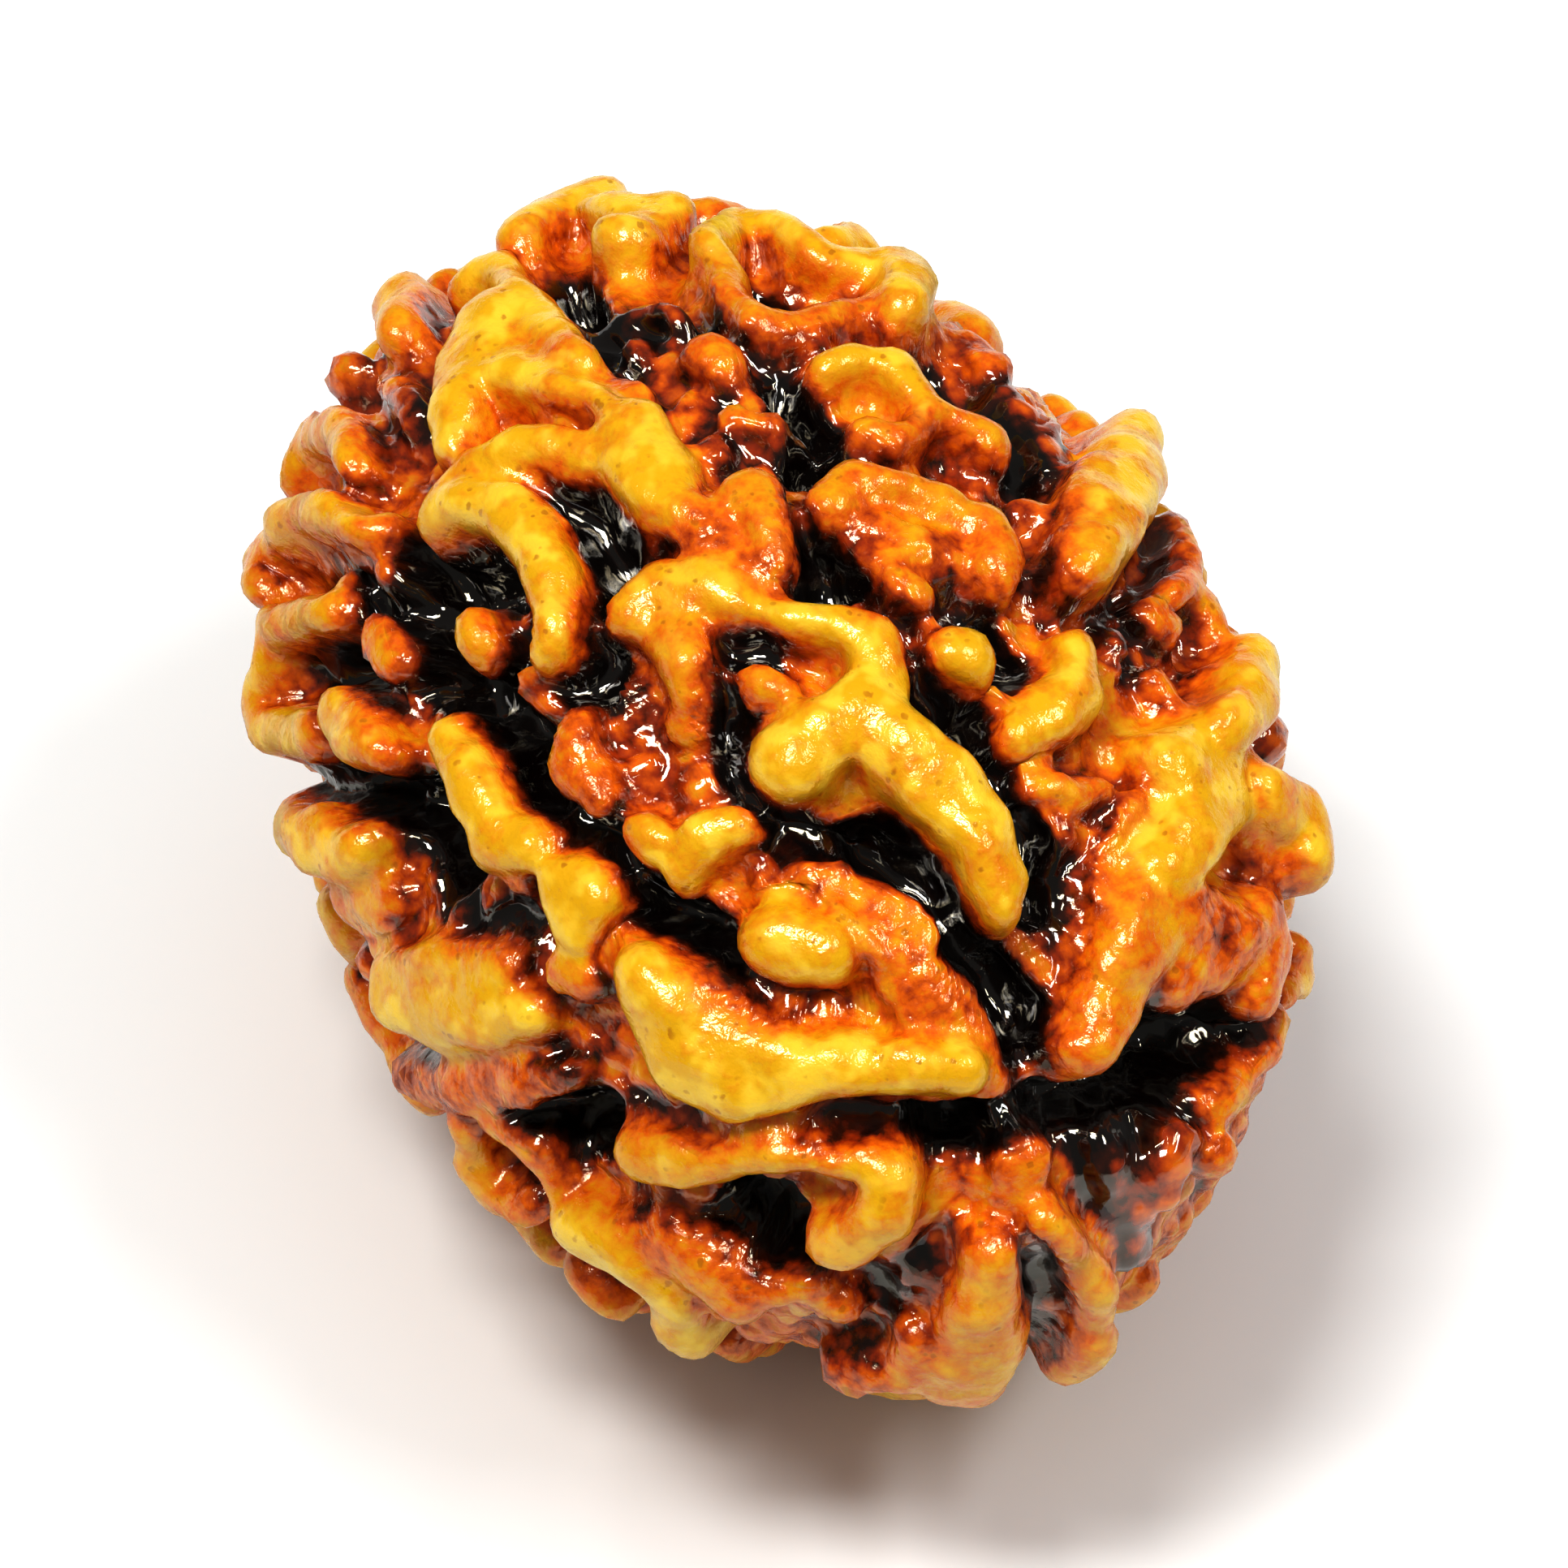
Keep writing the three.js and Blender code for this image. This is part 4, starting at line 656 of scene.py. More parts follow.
def hidden_lobes(furrows):
    """Short bent ridges, mostly lengthwise, clear of the furrows and feet, lower on the flatter side."""
    flat_side = unit(PICTURE_RIGHT * FLAT_SIDE[0] + PICTURE_UP * FLAT_SIDE[1])
    draws = iter(seeded_draws(HIDDEN_SEED, SPIRAL_LOBES * DRAWS_PER_LOBE))
    golden_angle = math.pi * (3.0 - math.sqrt(5.0))
    floor_points = []
    for furrow in furrows:
        for i in range(len(furrow.places) - 1):
            for share in (0.0, 0.5, 1.0):
                floor_points.append(on_envelope(along(furrow.places, i, share), 0.0))
    floor_points = np.array(floor_points)
    forms = []
    for i in range(SPIRAL_LOBES):
        lengthways = 1.0 - 2.0 * (i + 0.5) / SPIRAL_LOBES
        ring = math.sqrt(1.0 - lengthways * lengthways)
        angle = i * golden_angle
        turn_draw, bend_draw, span_draw, width_draw, rise_draw = itertools.islice(draws, DRAWS_PER_LOBE)
        turn = either_way(turn_draw, HIDDEN_TURN)
        bend = either_way(bend_draw, HIDDEN_BEND)
        half_span = along(HIDDEN_HALF_SPAN, 0, span_draw)
        half_width = along(HIDDEN_HALF_WIDTH, 0, width_draw)
        direction = np.array((lengthways, ring * math.cos(angle), ring * math.sin(angle)))
        middle = direction * envelope(0.0)
        normal = outward_normal(middle)
        sight = VIEWER - middle
        facing = normal @ sight / np.linalg.norm(sight)
        floor_gap = np.linalg.norm(floor_points - middle, axis=1).min() - half_width
        foot_gap = min(np.linalg.norm(middle - (x, y, -AXIS_HEIGHT)) for x, y, _rise, _width in FEET)
        if facing > HIDDEN_FACING or floor_gap < FURROW_CLEARANCE or foot_gap < FOOT_CLEARANCE:
            continue
        near_rim = max(1.0 - (HIDDEN_FACING - facing) / RIM_BAND, 0.0)
        on_flat_side = max(middle @ flat_side / np.linalg.norm(middle) - FLAT_START, 0.0)
        rise = either_way(rise_draw, HIDDEN_RISE) - near_rim * RIM_DROP - on_flat_side * FLAT_DROP
        across = unit(np.cross(normal, (1.0, 0.0, 0.0)))
        lengthwise = np.cross(across, normal)
        places = []
        for swing, way in ((turn - bend, -1.0), (turn, 0.0), (turn + bend, 1.0)):
            heading = lengthwise * math.cos(swing) + across * math.sin(swing)
            spot = middle + heading * half_span * way
            width = half_width if way == 0.0 else half_width * HIDDEN_TAPER
            places.append((on_envelope(spot, cap_height(width) - rise), width))
        tone = HIDDEN_TONE + HIDDEN_TONE_SPREAD * turn_draw * bend_draw
        forms.append(Form([place for place, _ in places], [width for _, width in places], tone))
    return forms


def feet():
    """The lobes that touch the ground."""
    forms = []
    for x, y, rise, half_width in FEET:
        places = []
        for step in (-FOOT_HALF_SPAN, 0.0, FOOT_HALF_SPAN):
            spot = np.array((x + step, y, 0.0))
            spot[2] = -HALF_WIDTH * math.sqrt(1.0 - ((spot / envelope(0.0)) ** 2).sum())
            places.append(on_envelope(spot, cap_height(half_width) - rise))
        forms.append(Form(places, [half_width] * len(places), FOOT_TONE))
    return forms


class Field:
    """Signed distance to the stone, sampled on an even grid whose origin is the stone's middle."""

    def __init__(self):
        self.low = -envelope(-2.0 * REACH)
        self.counts = np.ceil(-2.0 * self.low / FIELD_STEP).astype(int) + 1
        self.lines = [
            (self.low[i] + FIELD_STEP * np.arange(self.counts[i])).astype(np.float32) for i in range(3)
        ]
        self.grid = np.meshgrid(*self.lines, indexing="ij", sparse=True)
        full = [np.broadcast_to(g, self.counts) for g in self.grid]
        self.bent = [
            full[i] + np.float32(LOBE_BEND) * wave(*self.grid, frequency, phase)
            for i, (frequency, phase) in enumerate(BEND_WAVES)
        ]
        core = envelope(VALLEY_DEPTH)
        inner = np.sqrt(sum((self.grid[i] / core[i]) ** 2 for i in range(3)))
        slope = np.sqrt(sum((self.grid[i] / core[i] ** 2) ** 2 for i in range(3))) + LEAST_SLOPE
        distance = inner * (inner - 1.0) / slope
        for height, frequency, phase in FLOOR_SWELLS:
            distance = distance - height * wave(*self.grid, frequency, phase)
        self.distance = np.clip(distance, -REACH, REACH).astype(np.float32)
        self.tone = np.full(self.distance.shape, CORE_TONE, np.float32)
        nearest = np.full(self.distance.shape, TONE_REACH, np.float32)
        self.furrow = np.full(self.distance.shape, REACH, np.float32)
        hidden = hidden_furrows()
        for furrow in picture_furrows() + hidden:
            box, _bent = self.box(furrow, 0.0, HIDDEN_FURROW_DEPTH + REACH)
            straight = [line[box[i]] for i, line in enumerate(self.lines)]
            straight = np.meshgrid(*straight, indexing="ij", sparse=True)
            reach = furrow.distance(straight, furrow_distance)
            self.distance[box] = smooth_cut(self.distance[box], reach, FURROW_BLEND)
            self.furrow[box] = np.minimum(self.furrow[box], reach)
        for lobe in picture_lobes() + hidden_lobes(hidden) + feet():
            box, bent = self.box(lobe, LOBE_DEPTH, 0.0)
            reach = lobe.distance(bent, lobe_distance)
            self.distance[box] = smooth_union(self.distance[box], reach, LOBE_BLEND)
            closer = reach < nearest[box]
            nearest[box] = np.where(closer, reach, nearest[box])
            self.tone[box] = np.where(closer, lobe.tone, self.tone[box])
        for height, frequency, phase in SKIN_SWELLS:
            self.distance -= np.float32(height) * wave(*self.grid, frequency, phase)
        self.distance = np.maximum(self.distance, -AXIS_HEIGHT - self.grid[2])

    def box(self, form, inwards, outwards):
        """Slices of the grid that the form can touch, and the bent grid there."""
        low, high = form.corners(inwards, outwards)
        first = np.clip(np.floor((low - self.low) / FIELD_STEP).astype(int), 0, self.counts)
        last = np.clip(np.ceil((high - self.low) / FIELD_STEP).astype(int) + 1, 0, self.counts)
        box = tuple(slice(first[i], last[i]) for i in range(3))
        return box, [axis[box] for axis in self.bent]

    def sample(self, values, points):
        """Values between the grid's corners, weighted by the distance to each corner."""
        place = (points - self.low) / FIELD_STEP
        corner = np.clip(place.astype(int), 0, self.counts - 2)
        share = np.clip(place - corner, 0.0, 1.0)
        flat = values.ravel()
        stride = np.array((self.counts[1] * self.counts[2], self.counts[2], 1))
        base = corner @ stride
        weights = (1.0 - share.T, share.T)
        total = 0.0
        for i, j, k in itertools.product((0, 1), repeat=3):
            here = flat[base + i * stride[0] + j * stride[1] + k]
            total = total + weights[i][0] * weights[j][1] * weights[k][2] * here
        return total

    def height(self, points):
        """Distance from the stone's surface at each point."""
        return self.sample(self.distance, points)

    def slope(self, points):
        """Direction in which the distance grows fastest."""
        rise = []
        for axis in range(3):
            probe = np.zeros(3)
            probe[axis] = FIELD_STEP
            rise.append(self.height(points + probe) - self.height(points - probe))
        return np.stack(rise, axis=-1) / (2.0 * FIELD_STEP)


def grid_quads(cells):
    """The faces of a square grid of points, four corners each."""
    row = cells + 1
    corner = (np.arange(cells)[:, None] * row + np.arange(cells)[None, :]).ravel()
    return np.stack((corner, corner + row, corner + row + 1, corner + 1), axis=1)


def cube_sphere(cells):
    """A cube's six faces cut in even angles and blown up to a ball, with the seams merged."""
    turns = np.tan((np.arange(cells + 1) / cells - 0.5) * math.pi / 2.0)
    first, second = np.meshgrid(turns, turns, indexing="ij")
    sides = []
    for axis in range(3):
        for sign in (1.0, -1.0):
            face = np.full(first.shape + (3,), sign)
            face[..., (axis + 1) % 3] = first * sign
            face[..., (axis + 2) % 3] = second
            sides.append(face.reshape(-1, 3))
    points = np.concatenate(sides)
    quads = np.concatenate([grid_quads(cells) + i * first.size for i in range(len(sides))])
    keys = np.round(points * MERGE_FINENESS).astype(np.int64)
    _unique, kept, merged = np.unique(keys, axis=0, return_index=True, return_inverse=True)
    points = points[kept]
    points = points / np.linalg.norm(points, axis=1, keepdims=True)
    return points, merged.ravel()[quads]


def neighbour_table(quads, count):
    """For each vertex the four vertices it shares an edge with, one of them twice at a cube corner."""
    edges = np.concatenate([np.stack((quads[:, i], quads[:, (i + 1) % 4]), axis=1) for i in range(4)])
    edges = np.unique(np.concatenate((edges, edges[:, ::-1])), axis=0)
    starts = np.searchsorted(edges[:, 0], np.arange(count))
    sizes = np.searchsorted(edges[:, 0], np.arange(count), side="right") - starts
    picks = starts[:, None] + np.minimum(np.arange(4)[None, :], sizes[:, None] - 1)
    return edges[:, 1][picks]


def stone_skin(field):
    """Marches in along lines through the middle, then spreads the points over the flanks."""
    directions, quads = cube_sphere(SKIN_CELLS)
    points = directions * envelope(-START_HEIGHT)
    inward = -MARCH_STEP * points / np.linalg.norm(points, axis=1, keepdims=True)
    outside = field.height(points) > 0.0
    while outside.any():
        points[outside] += inward[outside]
        outside[outside] = field.height(points[outside]) > 0.0
    step = inward
    for _ in range(HALVINGS):
        step = step * 0.5
        above = field.height(points) > 0.0
        points = points + step * np.where(above, 1.0, -1.0)[:, None]
    neighbours = neighbour_table(quads, len(points))
    for _ in range(RELAX_ROUNDS):
        shift = (points[neighbours].mean(axis=1) - points) * RELAX_SHARE
        slope = field.slope(points)
        steepness = np.maximum((slope * slope).sum(axis=1), LEAST_STEEPNESS)
        gap = field.height(points) + (shift * slope).sum(axis=1)
        points = points + shift - slope * (gap / steepness)[:, None]
    return smoothed(points, neighbours, POLISH_ROUNDS), quads, neighbours


def smoothed(values, neighbours, rounds):
    """Each value drawn halfway to the mean of its neighbours, a few times over."""
    for _ in range(rounds):
        values = 0.5 * (values + values[neighbours].mean(axis=1))
    return values


def ramp(values, low, high):
    """A straight rise from 0 at the low value to 1 at the high one."""
    return np.clip((values - low) / (high - low), 0.0, 1.0)


def outward_directions(points, quads):
    """Mean direction of the faces round each vertex, each face by its area."""
    across = points[quads[:, 2]] - points[quads[:, 0]]
    along_face = points[quads[:, 3]] - points[quads[:, 1]]
    face = np.cross(across, along_face)
    normals = np.zeros_like(points)
    for corner in range(4):
        np.add.at(normals, quads[:, corner], face)
    return normals / np.maximum(np.linalg.norm(normals, axis=1, keepdims=True), LEAST_LENGTH)


def openness(field, points, normals):
    """How freely the surface looks out: the height over the stone gained by a walk outwards."""
    gains = [
        np.clip(field.height(points + normals * walk) / walk, 0.0, 1.0)
        for walk in HOLLOW_WALKS
    ]
    return sum(gains) / len(gains)


def levelness(points, normals):
    """How far the surface faces straight out from the stone: 1 on level ground, 0 on an upright flank."""
    return (normals * outward_normal(points)).sum(axis=1)


def stone_marks(field, points, normals, neighbours):
    """Stain and painted shade, from 0 on golden tops to 3 in black channels, for every vertex."""
    open_share = openness(field, points, normals)
    depth = (1.0 - np.linalg.norm(points / envelope(0.0), axis=1)) * HALF_WIDTH
    tone = smoothed(field.sample(field.tone, points), neighbours, TONE_ROUNDS)
    furrow = ramp(field.sample(field.furrow, points), *FURROW_RANGE)
    # Painted shade: points in hollows that see little open space are darkened
    stain = tone + HOLLOW_SHADE * ramp(open_share, *HOLLOW_RANGE)
    # Deeper points are darker: partly the stone's own stain in the valleys, partly painted shade
    stain = stain + SUNK_STAIN_AND_SHADE * ramp(depth, *SUNK_RANGE)
    stain = stain + CHANNEL_STAIN * (furrow * ramp(depth, *CHANNEL_RANGE))
    # Upright flanks are darker: partly the stone's own colour, partly painted shade
    stain = stain + FLANK_STAIN_AND_SHADE * ramp(levelness(points, normals), *FLANK_RANGE)
    return smoothed(np.clip(stain, 0.0, BLACK_STAIN_AND_SHADE), neighbours, STAIN_AND_SHADE_ROUNDS)


def cell_draws(cells):
    """Four seeded draws between 0 and 1 for each cell of an endless block of cells."""
    mixed = CRUMB_SEED
    for axis, factor in enumerate(CELL_FACTORS):
        mixed = mixed ^ cells[:, axis] * factor
    draws = []
    for _ in range(4):
        mixed = (mixed * MIX_FACTOR + MIX_STEP) & MIX_MASK
        draws.append((mixed >> MIX_SHIFT) % 2**DRAW_BITS / 2**DRAW_BITS)
    return np.stack(draws, axis=1)


def crumbs(points):
    """Height, 0 to 1, of round crumbs: one in each cell of a block, where a seeded draw puts it."""
    home = np.floor(points / CRUMB_CELL).astype(np.int64)
    nearest = np.ones(len(points))
    for step in itertools.product((-1, 0, 1), repeat=3):
        cells = home + step
        draws = cell_draws(cells)
        centres = (cells + draws[:, :3]) * CRUMB_CELL
        radius = CRUMB_RADIUS * (CRUMB_SMALLEST + (1.0 - CRUMB_SMALLEST) * draws[:, 3])
        nearest = np.minimum(nearest, np.linalg.norm(points - centres, axis=1) / radius)
    return np.sqrt(1.0 - nearest**2)


def roughen(points, normals, stain, look):
    """Adds crumbs on the level ground of the valleys and fine waves, and makes the tops of the crumbs
    lighter.
    """
    x, y, z = points.T
    waves = sum(weight * wave(x, y, z, frequency, phase) for weight, frequency, phase in SKIN_WAVES)
    waves = waves * (SKIN_ON_TOPS + (1.0 - SKIN_ON_TOPS) * ramp(stain, *SKIN_STAIN_AND_SHADE))
    crumbly = ramp(stain, *CRUMB_RISE) * ramp(stain, *CRUMB_FADE)
    crumb = crumbs(points) * (crumbly * ramp(levelness(points, normals), *CRUMB_LEVEL))
    lift = (look.crumb_height * crumb + look.wave_height * waves) / MILLIMETRE
    lifted = points + normals * lift[:, None]
    lifted[:, 2] = np.maximum(lifted[:, 2], -AXIS_HEIGHT)
    return lifted, np.clip(stain - CRUMB_TOP_LIGHTENING * crumb, 0.0, BLACK_STAIN_AND_SHADE)


def new_piece(name, points, quads, attributes):
    """Puts vertices, faces and vertex attributes into a mesh whose object sits at the origin."""
    mesh = bpy.data.meshes.new(name)
    mesh.vertices.add(len(points))
    mesh.vertices.foreach_set("co", points.astype(np.float32).ravel())
    mesh.loops.add(quads.size)
    mesh.loops.foreach_set("vertex_index", quads.astype(np.int32).ravel())
    mesh.polygons.add(len(quads))
    starts = np.arange(0, quads.size, quads.shape[1], dtype=np.int32)
    mesh.polygons.foreach_set("loop_start", starts)
    mesh.polygons.foreach_set("use_smooth", np.ones(len(quads), dtype=bool))
    for title, values in attributes.items():
        layer = mesh.attributes.new(title, "FLOAT", "POINT")
        layer.data.foreach_set("value", values.astype(np.float32))
    mesh.update(calc_edges=True)
    mesh.validate()
    piece = bpy.data.objects.new(name, mesh)
    bpy.context.scene.collection.objects.link(piece)
    return piece


class Value:
    """One socket in a node tree; maths on it adds Math nodes."""

    def __init__(self, graph, socket):
        self.graph = graph
        self.socket = socket

    def __add__(self, other):
        return self.graph.maths("ADD", self, other)

    def __sub__(self, other):
        return self.graph.maths("SUBTRACT", self, other)

    def __rsub__(self, other):
        return self.graph.maths("SUBTRACT", other, self)

    def __mul__(self, other):
        return self.graph.maths("MULTIPLY", self, other)

    __radd__ = __add__
    __rmul__ = __mul__

    def between(self, low, high):
        """Rises smoothly from 0 at the low value to 1 at the high one."""
        settings = {"interpolation_type": "SMOOTHSTEP"}
        rise = {"Value": self, "From Min": low, "From Max": high}
        return self.graph.add("ShaderNodeMapRange", settings, rise)


class Graph:
    """Builds one material's node tree."""

    def __init__(self, name):
        self.material = bpy.data.materials.new(name)
        self.material.use_nodes = True
        self.tree = self.material.node_tree
        self.tree.nodes.clear()

    def add(self, kind, settings, values, output=0):
        """Adds a node: its settings first, then its sockets' numbers or links."""
        node = self.tree.nodes.new(kind)
        for title, setting in settings.items():
            if title == "stops":
                self.set_stops(node.color_ramp, setting)
            else:
                setattr(node, title, setting)
        for title, value in values.items():
            if isinstance(value, Value):
                self.tree.links.new(value.socket, node.inputs[title])
            else:
                node.inputs[title].default_value = value
        return Value(self, node.outputs[output])

    def set_stops(self, colour_ramp, stops):
        """Puts the colours of a ramp at their places."""
        while len(colour_ramp.elements) < len(stops):
            colour_ramp.elements.new(1.0)
        for element, (place, colour) in zip(colour_ramp.elements, stops):
            element.position = place
            element.color = colour

    def maths(self, operation, first, second):
        """Adds a Math node on two numbers or sockets."""
        return self.add("ShaderNodeMath", {"operation": operation}, {0: first, 1: second})

    def blend(self, factor, first, second):
        """Mixes two colours."""
        sockets = {0: factor, 6: first, 7: second}
        return self.add("ShaderNodeMix", {"data_type": "RGBA"}, sockets, output=2)

    def finish(self, shader):
        """Joins the shader to the material's surface."""
        output = self.tree.nodes.new("ShaderNodeOutputMaterial")
        self.tree.links.new(shader.socket, output.inputs["Surface"])
        return self.material


def solid(colour):
    """A property's three-part colour as a shader's four-part one."""
    return (colour[0], colour[1], colour[2], 1.0)


def stone_material(look):
    """Gold tops with pale waxy blotches that are partly painted highlights, turning orange, red brown and
    black with stain and painted shade as they sink, with wet channels.
    """
    graph = Graph("stone_finish")
    place = graph.add("ShaderNodeTexCoord", {}, {}, output="Object")
    stain = graph.add("ShaderNodeAttribute", {"attribute_name": "stain"}, {}, output="Fac")
    wet = graph.add("ShaderNodeAttribute", {"attribute_name": "wet"}, {}, output="Fac")

    def noise(per_millimetre, detail, roughness):
        sockets = {"Vector": place, "Scale": per_millimetre / MILLIMETRE, "Detail": detail}
        sockets["Roughness"] = roughness
        return graph.add("ShaderNodeTexNoise", {}, sockets)

    def cell_distance(per_millimetre):
        sockets = {"Vector": place, "Scale": per_millimetre / MILLIMETRE, "Randomness": 1.0}
        return graph.add("ShaderNodeTexVoronoi", {}, sockets, output="Distance")

    cloud = noise(*CLOUDS) - NOISE_MIDDLE
    grain = noise(*GRAIN) - NOISE_MIDDLE
    dry = 1.0 - wet
    crumblet = cell_distance(CRUMBLETS_PER_MM)
    crumbly = stain.between(*CRUMBLY_RISE) * (1.0 - stain.between(*CRUMBLY_FADE))

    shift = cloud * CLOUD_SHIFT + grain * GRAIN_SHIFT
    shift = shift + (crumblet - CRUMBLET_MIDDLE) * crumbly * CRUMBLET_SHIFT
    # The colour ramp follows the stain and painted shade, shifted by the mottling noises
    mottled = (stain + STAIN_AND_SHADE_LIFT + shift * (1.0 - wet * WET_CALM)) * (1.0 / BLACK_STAIN_AND_SHADE)
    colours = (look.gold, look.amber, look.orange, look.red_brown, look.dark_brown, look.black)
    stops = [(stop, solid(colour)) for stop, colour in zip(COLOUR_STOPS, colours)]
    colour = graph.add("ShaderNodeValToRGB", {"stops": stops}, {"Fac": mottled}, output="Color")
    # Painted highlights: pale waxy blotches mixed into the tops, fading where the stain and shade grow
    wax_and_highlight = noise(*BLOTCHES).between(*WAX_HIGHLIGHT_RISE) * (1.0 - stain.between(*WAX_HIGHLIGHT_FADE)) * WAX_HIGHLIGHT_SHARE
    colour = graph.blend(wax_and_highlight, colour, solid(look.wax_and_highlight))
    dot = cell_distance(FRECKLES_PER_MM) + grain * FRECKLE_RAG
    dots = (1.0 - dot.between(*FRECKLE_EDGE)) * noise(*FRECKLE_PATCHES).between(*PATCH_RISE)
    colour = graph.blend(dots * dry * FRECKLE_SHARE, colour, solid(look.freckle))

    roughness = TOP_ROUGHNESS + grain * dry * GRAIN_ROUGHNESS - wet * (TOP_ROUGHNESS - WET_ROUGHNESS)
    relief = grain * dry * GRAIN_RELIEF + noise(*RIPPLES) * wet * RIPPLE_RELIEF
    relief = relief + (1.0 - crumblet) * crumbly * dry * CRUMBLET_RELIEF
    bump_sockets = {"Strength": look.relief, "Distance": RELIEF_HEIGHT, "Height": relief}
    bump = graph.add("ShaderNodeBump", {}, bump_sockets)

    sockets = {
        "Base Color": colour,
        "Roughness": roughness,
        "Coat Weight": wet * COAT_SHARE,
        "Coat Roughness": COAT_ROUGHNESS,
        "Coat IOR": COAT_IOR,
        "IOR": STONE_IOR,
        "Specular IOR Level": SPECULAR_LEVEL,
        "Specular Tint": SPECULAR_TINT,
        "Normal": bump,
    }
    return graph.finish(graph.add("ShaderNodeBsdfPrincipled", {}, sockets))


def floor_mesh(half_side, cells):
    """A flat square grid round the origin at the height of the ground."""
    line = np.linspace(-half_side, half_side, cells + 1)
    x, y = np.meshgrid(line, line, indexing="ij")
    points = np.stack((x.ravel(), y.ravel(), np.zeros(x.size)), axis=1)
    return points, grid_quads(cells)


def floor_material(look):
    """Matt pale paper, with one even colour."""
    graph = Graph("floor_finish")
    sockets = {"Base Color": solid(look.floor), "Roughness": FLOOR_ROUGHNESS}
    return graph.finish(graph.add("ShaderNodeBsdfPrincipled", {}, sockets))


def look_along(thing, back, right):
    """Turns a camera or a lamp so that its local axes are right, up and back towards the viewer."""
    back = unit(back)
    right = unit(right - back * (right @ back))
    up = np.cross(back, right)
    turn = Matrix(np.stack((right, up, back), axis=1).tolist())
    thing.rotation_euler = turn.to_euler()


def area_light(name, direction, distance, size, power, colour):
    """A soft rectangular lamp that looks at the middle of the stone."""
    lamp = bpy.data.lights.new(name, "AREA")
    lamp.shape = "RECTANGLE"
    lamp.size, lamp.size_y = size
    lamp.energy = power
    lamp.color = colour
    holder = bpy.data.objects.new(name, lamp)
    bpy.context.scene.collection.objects.link(holder)
    direction = unit(direction)
    holder.location = (direction * distance + STONE_MIDDLE).tolist()
    look_along(holder, direction, PICTURE_RIGHT)
    return holder


def picture_direction(right, up, back):
    """A direction given by how it lies in the photograph."""
    return PICTURE_RIGHT * right + PICTURE_UP * up + TOWARDS_VIEWER * back


def photograph_camera():
    """The camera that looks at the stone as the photograph does."""
    data = bpy.data.cameras.new("photograph_view")
    data.sensor_width = SENSOR_WIDTH
    data.lens = PIXELS_PER_MM * VIEW_DISTANCE * SENSOR_WIDTH / PICTURE_SIZE
    data.shift_x = (PICTURE_SIZE / 2 - PICTURE_CENTRE[0]) / PICTURE_SIZE
    data.shift_y = (PICTURE_CENTRE[1] - PICTURE_SIZE / 2) / PICTURE_SIZE
    data.clip_start = CLIP_NEAR
    data.clip_end = CLIP_FAR
    camera = bpy.data.objects.new("photograph_view", data)
    bpy.context.scene.collection.objects.link(camera)
    camera.location = (STONE_MIDDLE + TOWARDS_VIEWER * VIEW_DISTANCE * MILLIMETRE).tolist()
    look_along(camera, TOWARDS_VIEWER, PICTURE_RIGHT)
    bpy.context.scene.camera = camera


def colour_property(name, description, default):
    """A colour that the sidebar shows as a swatch."""
    return bpy.props.FloatVectorProperty(
        name=name, description=description, subtype="COLOR", size=3, min=0.0, max=1.0, default=default
    )


def number_property(name, description, default, **limits):
    """A number of at least nothing that the sidebar shows."""
    return bpy.props.FloatProperty(name=name, description=description, default=default, min=0.0, **limits)


def height_property(name, description, default):
    """A height far under a millimetre."""
    return number_property(name, description, default, unit="LENGTH", precision=5)


class StoneLook(bpy.types.PropertyGroup):
    """Colours and fine relief of the stone."""

    # Colours of the ramp, from the golden tops through the stain and painted shade to black
    gold: colour_property("Gold", "Colour of the clean tops", (0.7, 0.405, 0.009))
    amber: colour_property("Amber", "Colour of the shoulders of a lobe", (0.68, 0.29, 0.006))
    orange: colour_property("Orange", "Colour of the upper flanks", (0.66, 0.145, 0.003))
    red_brown: colour_property("Red brown", "Colour of the lower flanks", (0.33, 0.04, 0.003))
    dark_brown: colour_property("Dark brown", "Colour beside the channels", (0.045, 0.007, 0.002))
    black: colour_property("Black", "Colour of the channel floors", (0.004, 0.0015, 0.0015))
    # Colour of the pale waxy blotches, which are partly painted highlights on the tops
    wax_and_highlight: colour_property("Wax", "Colour of the pale waxy blotches on the tops", (0.85, 0.62, 0.07))
    freckle: colour_property("Freckle", "Colour of the fine dots", (0.3, 0.06, 0.004))
    relief: number_property("Relief", "Strength of the fine grain", 0.5, max=1.0)
    crumb_height: height_property("Crumb height", "Height of the round crumbs in the valleys", 0.00011)
    wave_height: height_property("Wave height", "Height of the uneven skin", 0.00008)


class StageLook(bpy.types.PropertyGroup):
    """Colour of the floor and strength of the light."""

    floor: colour_property("Floor", "Colour of the floor", (0.78, 0.8, 0.81))
    half_side: number_property("Half side", "Half the side of the floor", 0.6, unit="LENGTH")
    sky: number_property("Sky", "Strength of the even white light", 0.16)
    ceiling: number_property("Ceiling light", "Power of the wide lamp overhead", 5.6, unit="POWER")
    key: number_property("Key light", "Power of the small lamp over the stone", 2.7, unit="POWER")
    window: number_property("Window light", "Power of the slim lamp on the right", 0.9, unit="POWER")


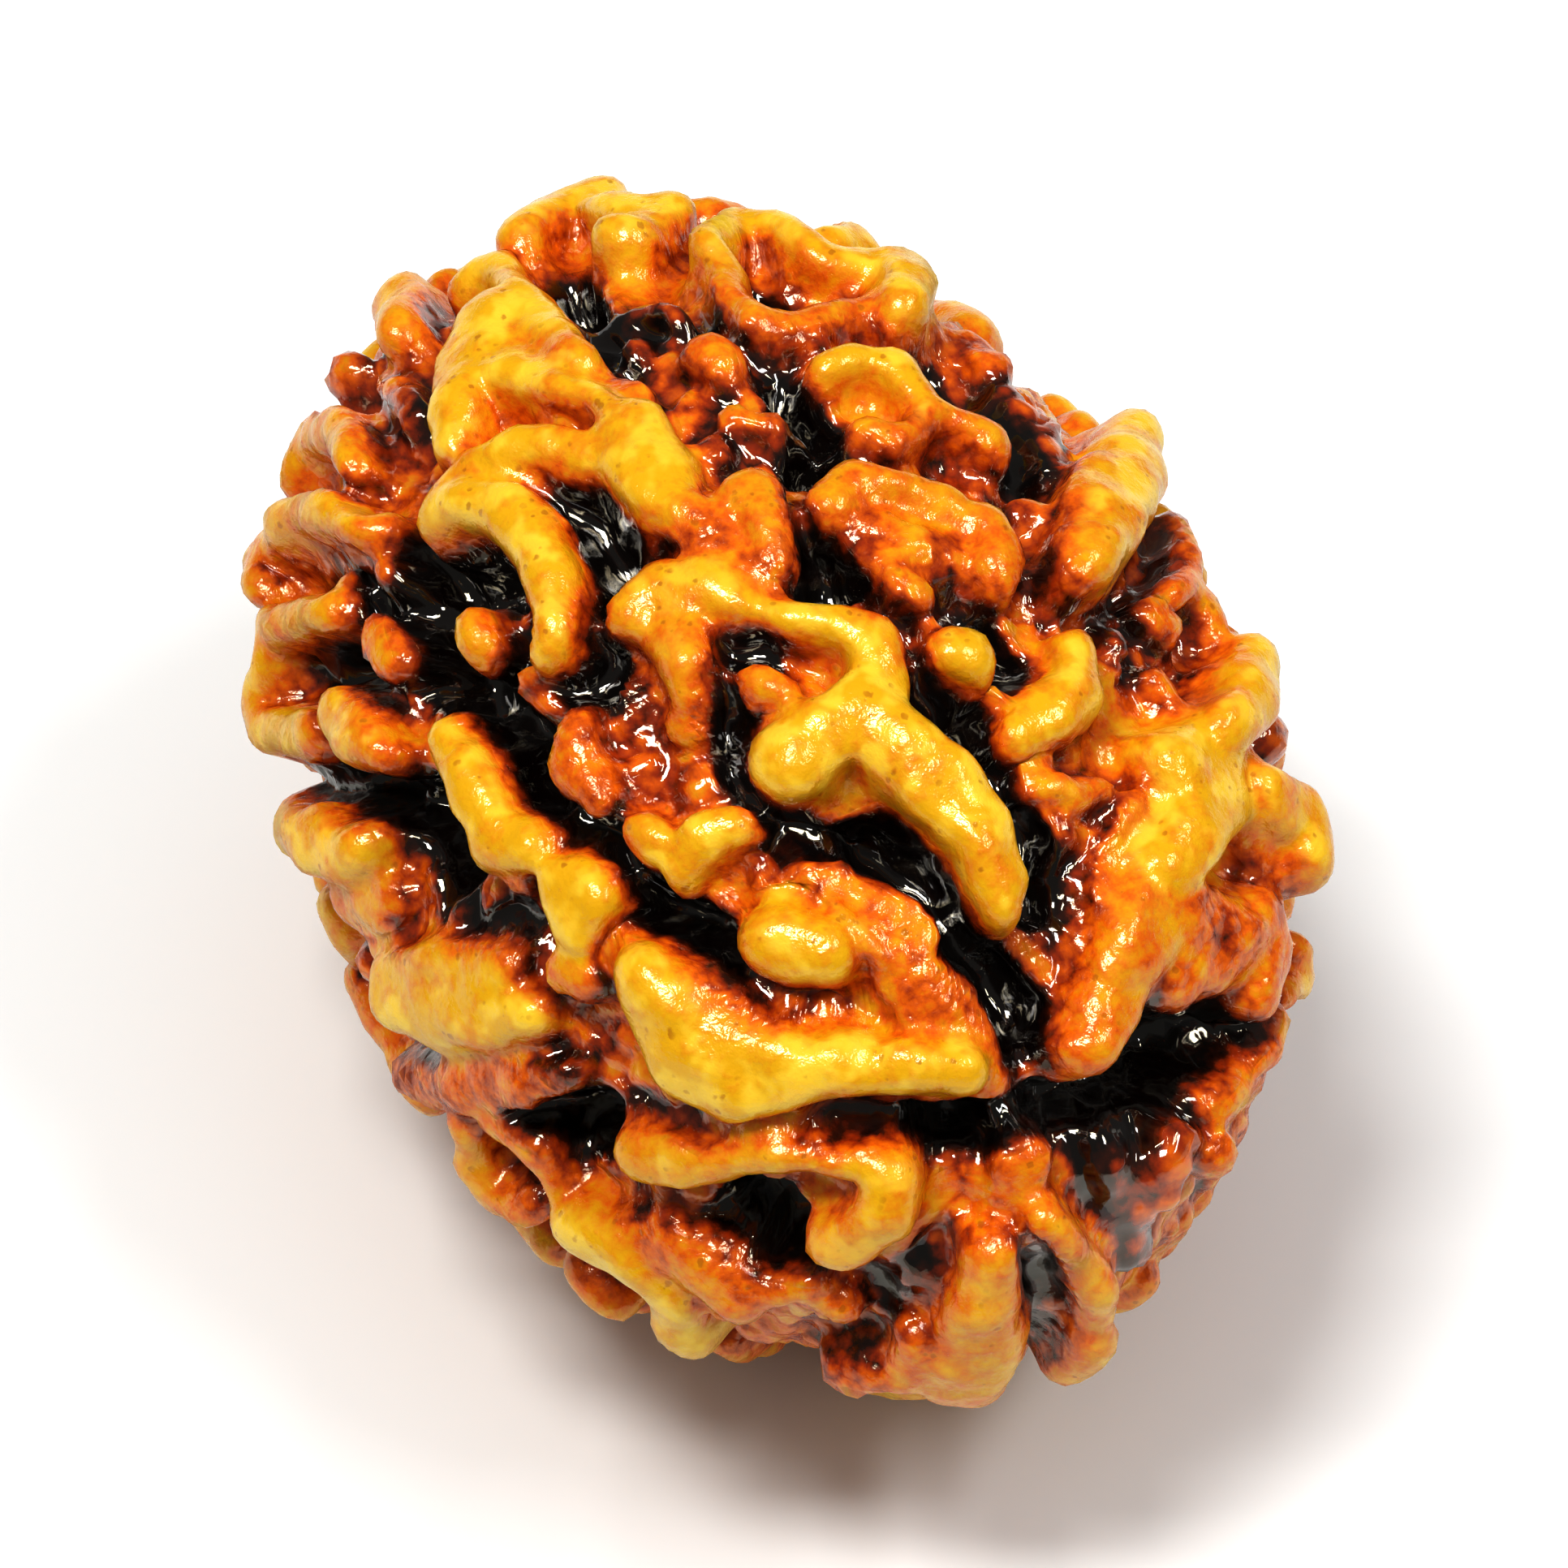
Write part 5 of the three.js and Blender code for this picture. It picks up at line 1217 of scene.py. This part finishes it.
class RUDRAKSHA_OT_stone(bpy.types.Operator):
    """Grow the stone with its lobes, furrows and finish"""

    bl_idname = "rudraksha.grow_stone"
    bl_label = "Grow the stone"

    def execute(self, context):
        look = context.scene.rudraksha_stone
        field = Field()
        points, quads, neighbours = stone_skin(field)
        normals = outward_directions(points, quads)
        stain = stone_marks(field, points, normals, neighbours)
        facing_up = outward_normal(points)[:, 2]
        wet = ramp(stain, *WET_STAIN_AND_SHADE) * ramp(facing_up, *WET_SLOPES)
        points, stain = roughen(points, normals, stain, look)
        standing = (points + (0.0, 0.0, AXIS_HEIGHT)) * MILLIMETRE
        piece = new_piece("grown_stone", standing, quads, {"stain": stain, "wet": wet})
        piece.data.materials.append(stone_material(look))
        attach(piece, BODY)
        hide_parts(SOLID)
        return {"FINISHED"}


class RUDRAKSHA_OT_stage(bpy.types.Operator):
    """Set the pale floor, the soft light and the camera"""

    bl_idname = "rudraksha.set_stage"
    bl_label = "Set the stage"

    def execute(self, context):
        look = context.scene.rudraksha_stage
        points, quads = floor_mesh(look.half_side, FLOOR_CELLS)
        floor = new_piece("floor", points, quads, {})
        floor.data.materials.append(floor_material(look))
        world = bpy.data.worlds.new("soft_sky")
        world.use_nodes = True
        background = world.node_tree.nodes["Background"]
        background.inputs["Color"].default_value = solid(WHITE)
        background.inputs["Strength"].default_value = look.sky
        context.scene.world = world
        settings = context.scene.view_settings
        settings.view_transform = "Standard"
        settings.gamma = VIEW_GAMMA
        settings.exposure = VIEW_EXPOSURE
        ceiling = area_light("ceiling_light", UPWARDS, CEILING_DISTANCE, CEILING_SIZE, look.ceiling, WHITE)
        ceiling.visible_glossy = False
        key = picture_direction(*KEY_DIRECTION)
        area_light("key_light", key, KEY_DISTANCE, KEY_SIZE, look.key, WARM_WHITE)
        window = picture_direction(*WINDOW_DIRECTION)
        area_light("window_light", window, WINDOW_DISTANCE, WINDOW_SIZE, look.window, WHITE)
        photograph_camera()
        return {"FINISHED"}


class RUDRAKSHA_PT_panel(bpy.types.Panel):
    """Sizes, colours and steps of the bead"""

    bl_label = "Rudraksha bead"
    bl_idname = "RUDRAKSHA_PT_panel"
    bl_space_type = "VIEW_3D"
    bl_region_type = "UI"
    bl_category = "Rudraksha"

    def draw(self, context):
        layout = self.layout
        for look in (context.scene.rudraksha_stone, context.scene.rudraksha_stage):
            for title in look.bl_rna.properties.keys():
                if title not in ("rna_type", "name"):
                    layout.prop(look, title)
        layout.operator(RUDRAKSHA_OT_stone.bl_idname)
        layout.operator(RUDRAKSHA_OT_stage.bl_idname)


CLASSES = (StoneLook, StageLook, RUDRAKSHA_OT_stone, RUDRAKSHA_OT_stage, RUDRAKSHA_PT_panel)


def register():
    """Registers the classes and hangs their settings on the scene."""
    for item in CLASSES:
        bpy.utils.register_class(item)
    bpy.types.Scene.rudraksha_stone = bpy.props.PointerProperty(type=StoneLook)
    bpy.types.Scene.rudraksha_stage = bpy.props.PointerProperty(type=StageLook)


def unregister():
    """Takes the settings and the classes away again."""
    del bpy.types.Scene.rudraksha_stage
    del bpy.types.Scene.rudraksha_stone
    for item in reversed(CLASSES):
        bpy.utils.unregister_class(item)


def main():
    """Makes the stone and the stage."""
    register()
    bpy.ops.rudraksha.grow_stone()
    bpy.ops.rudraksha.set_stage()


if __name__ == "__main__":
    main()
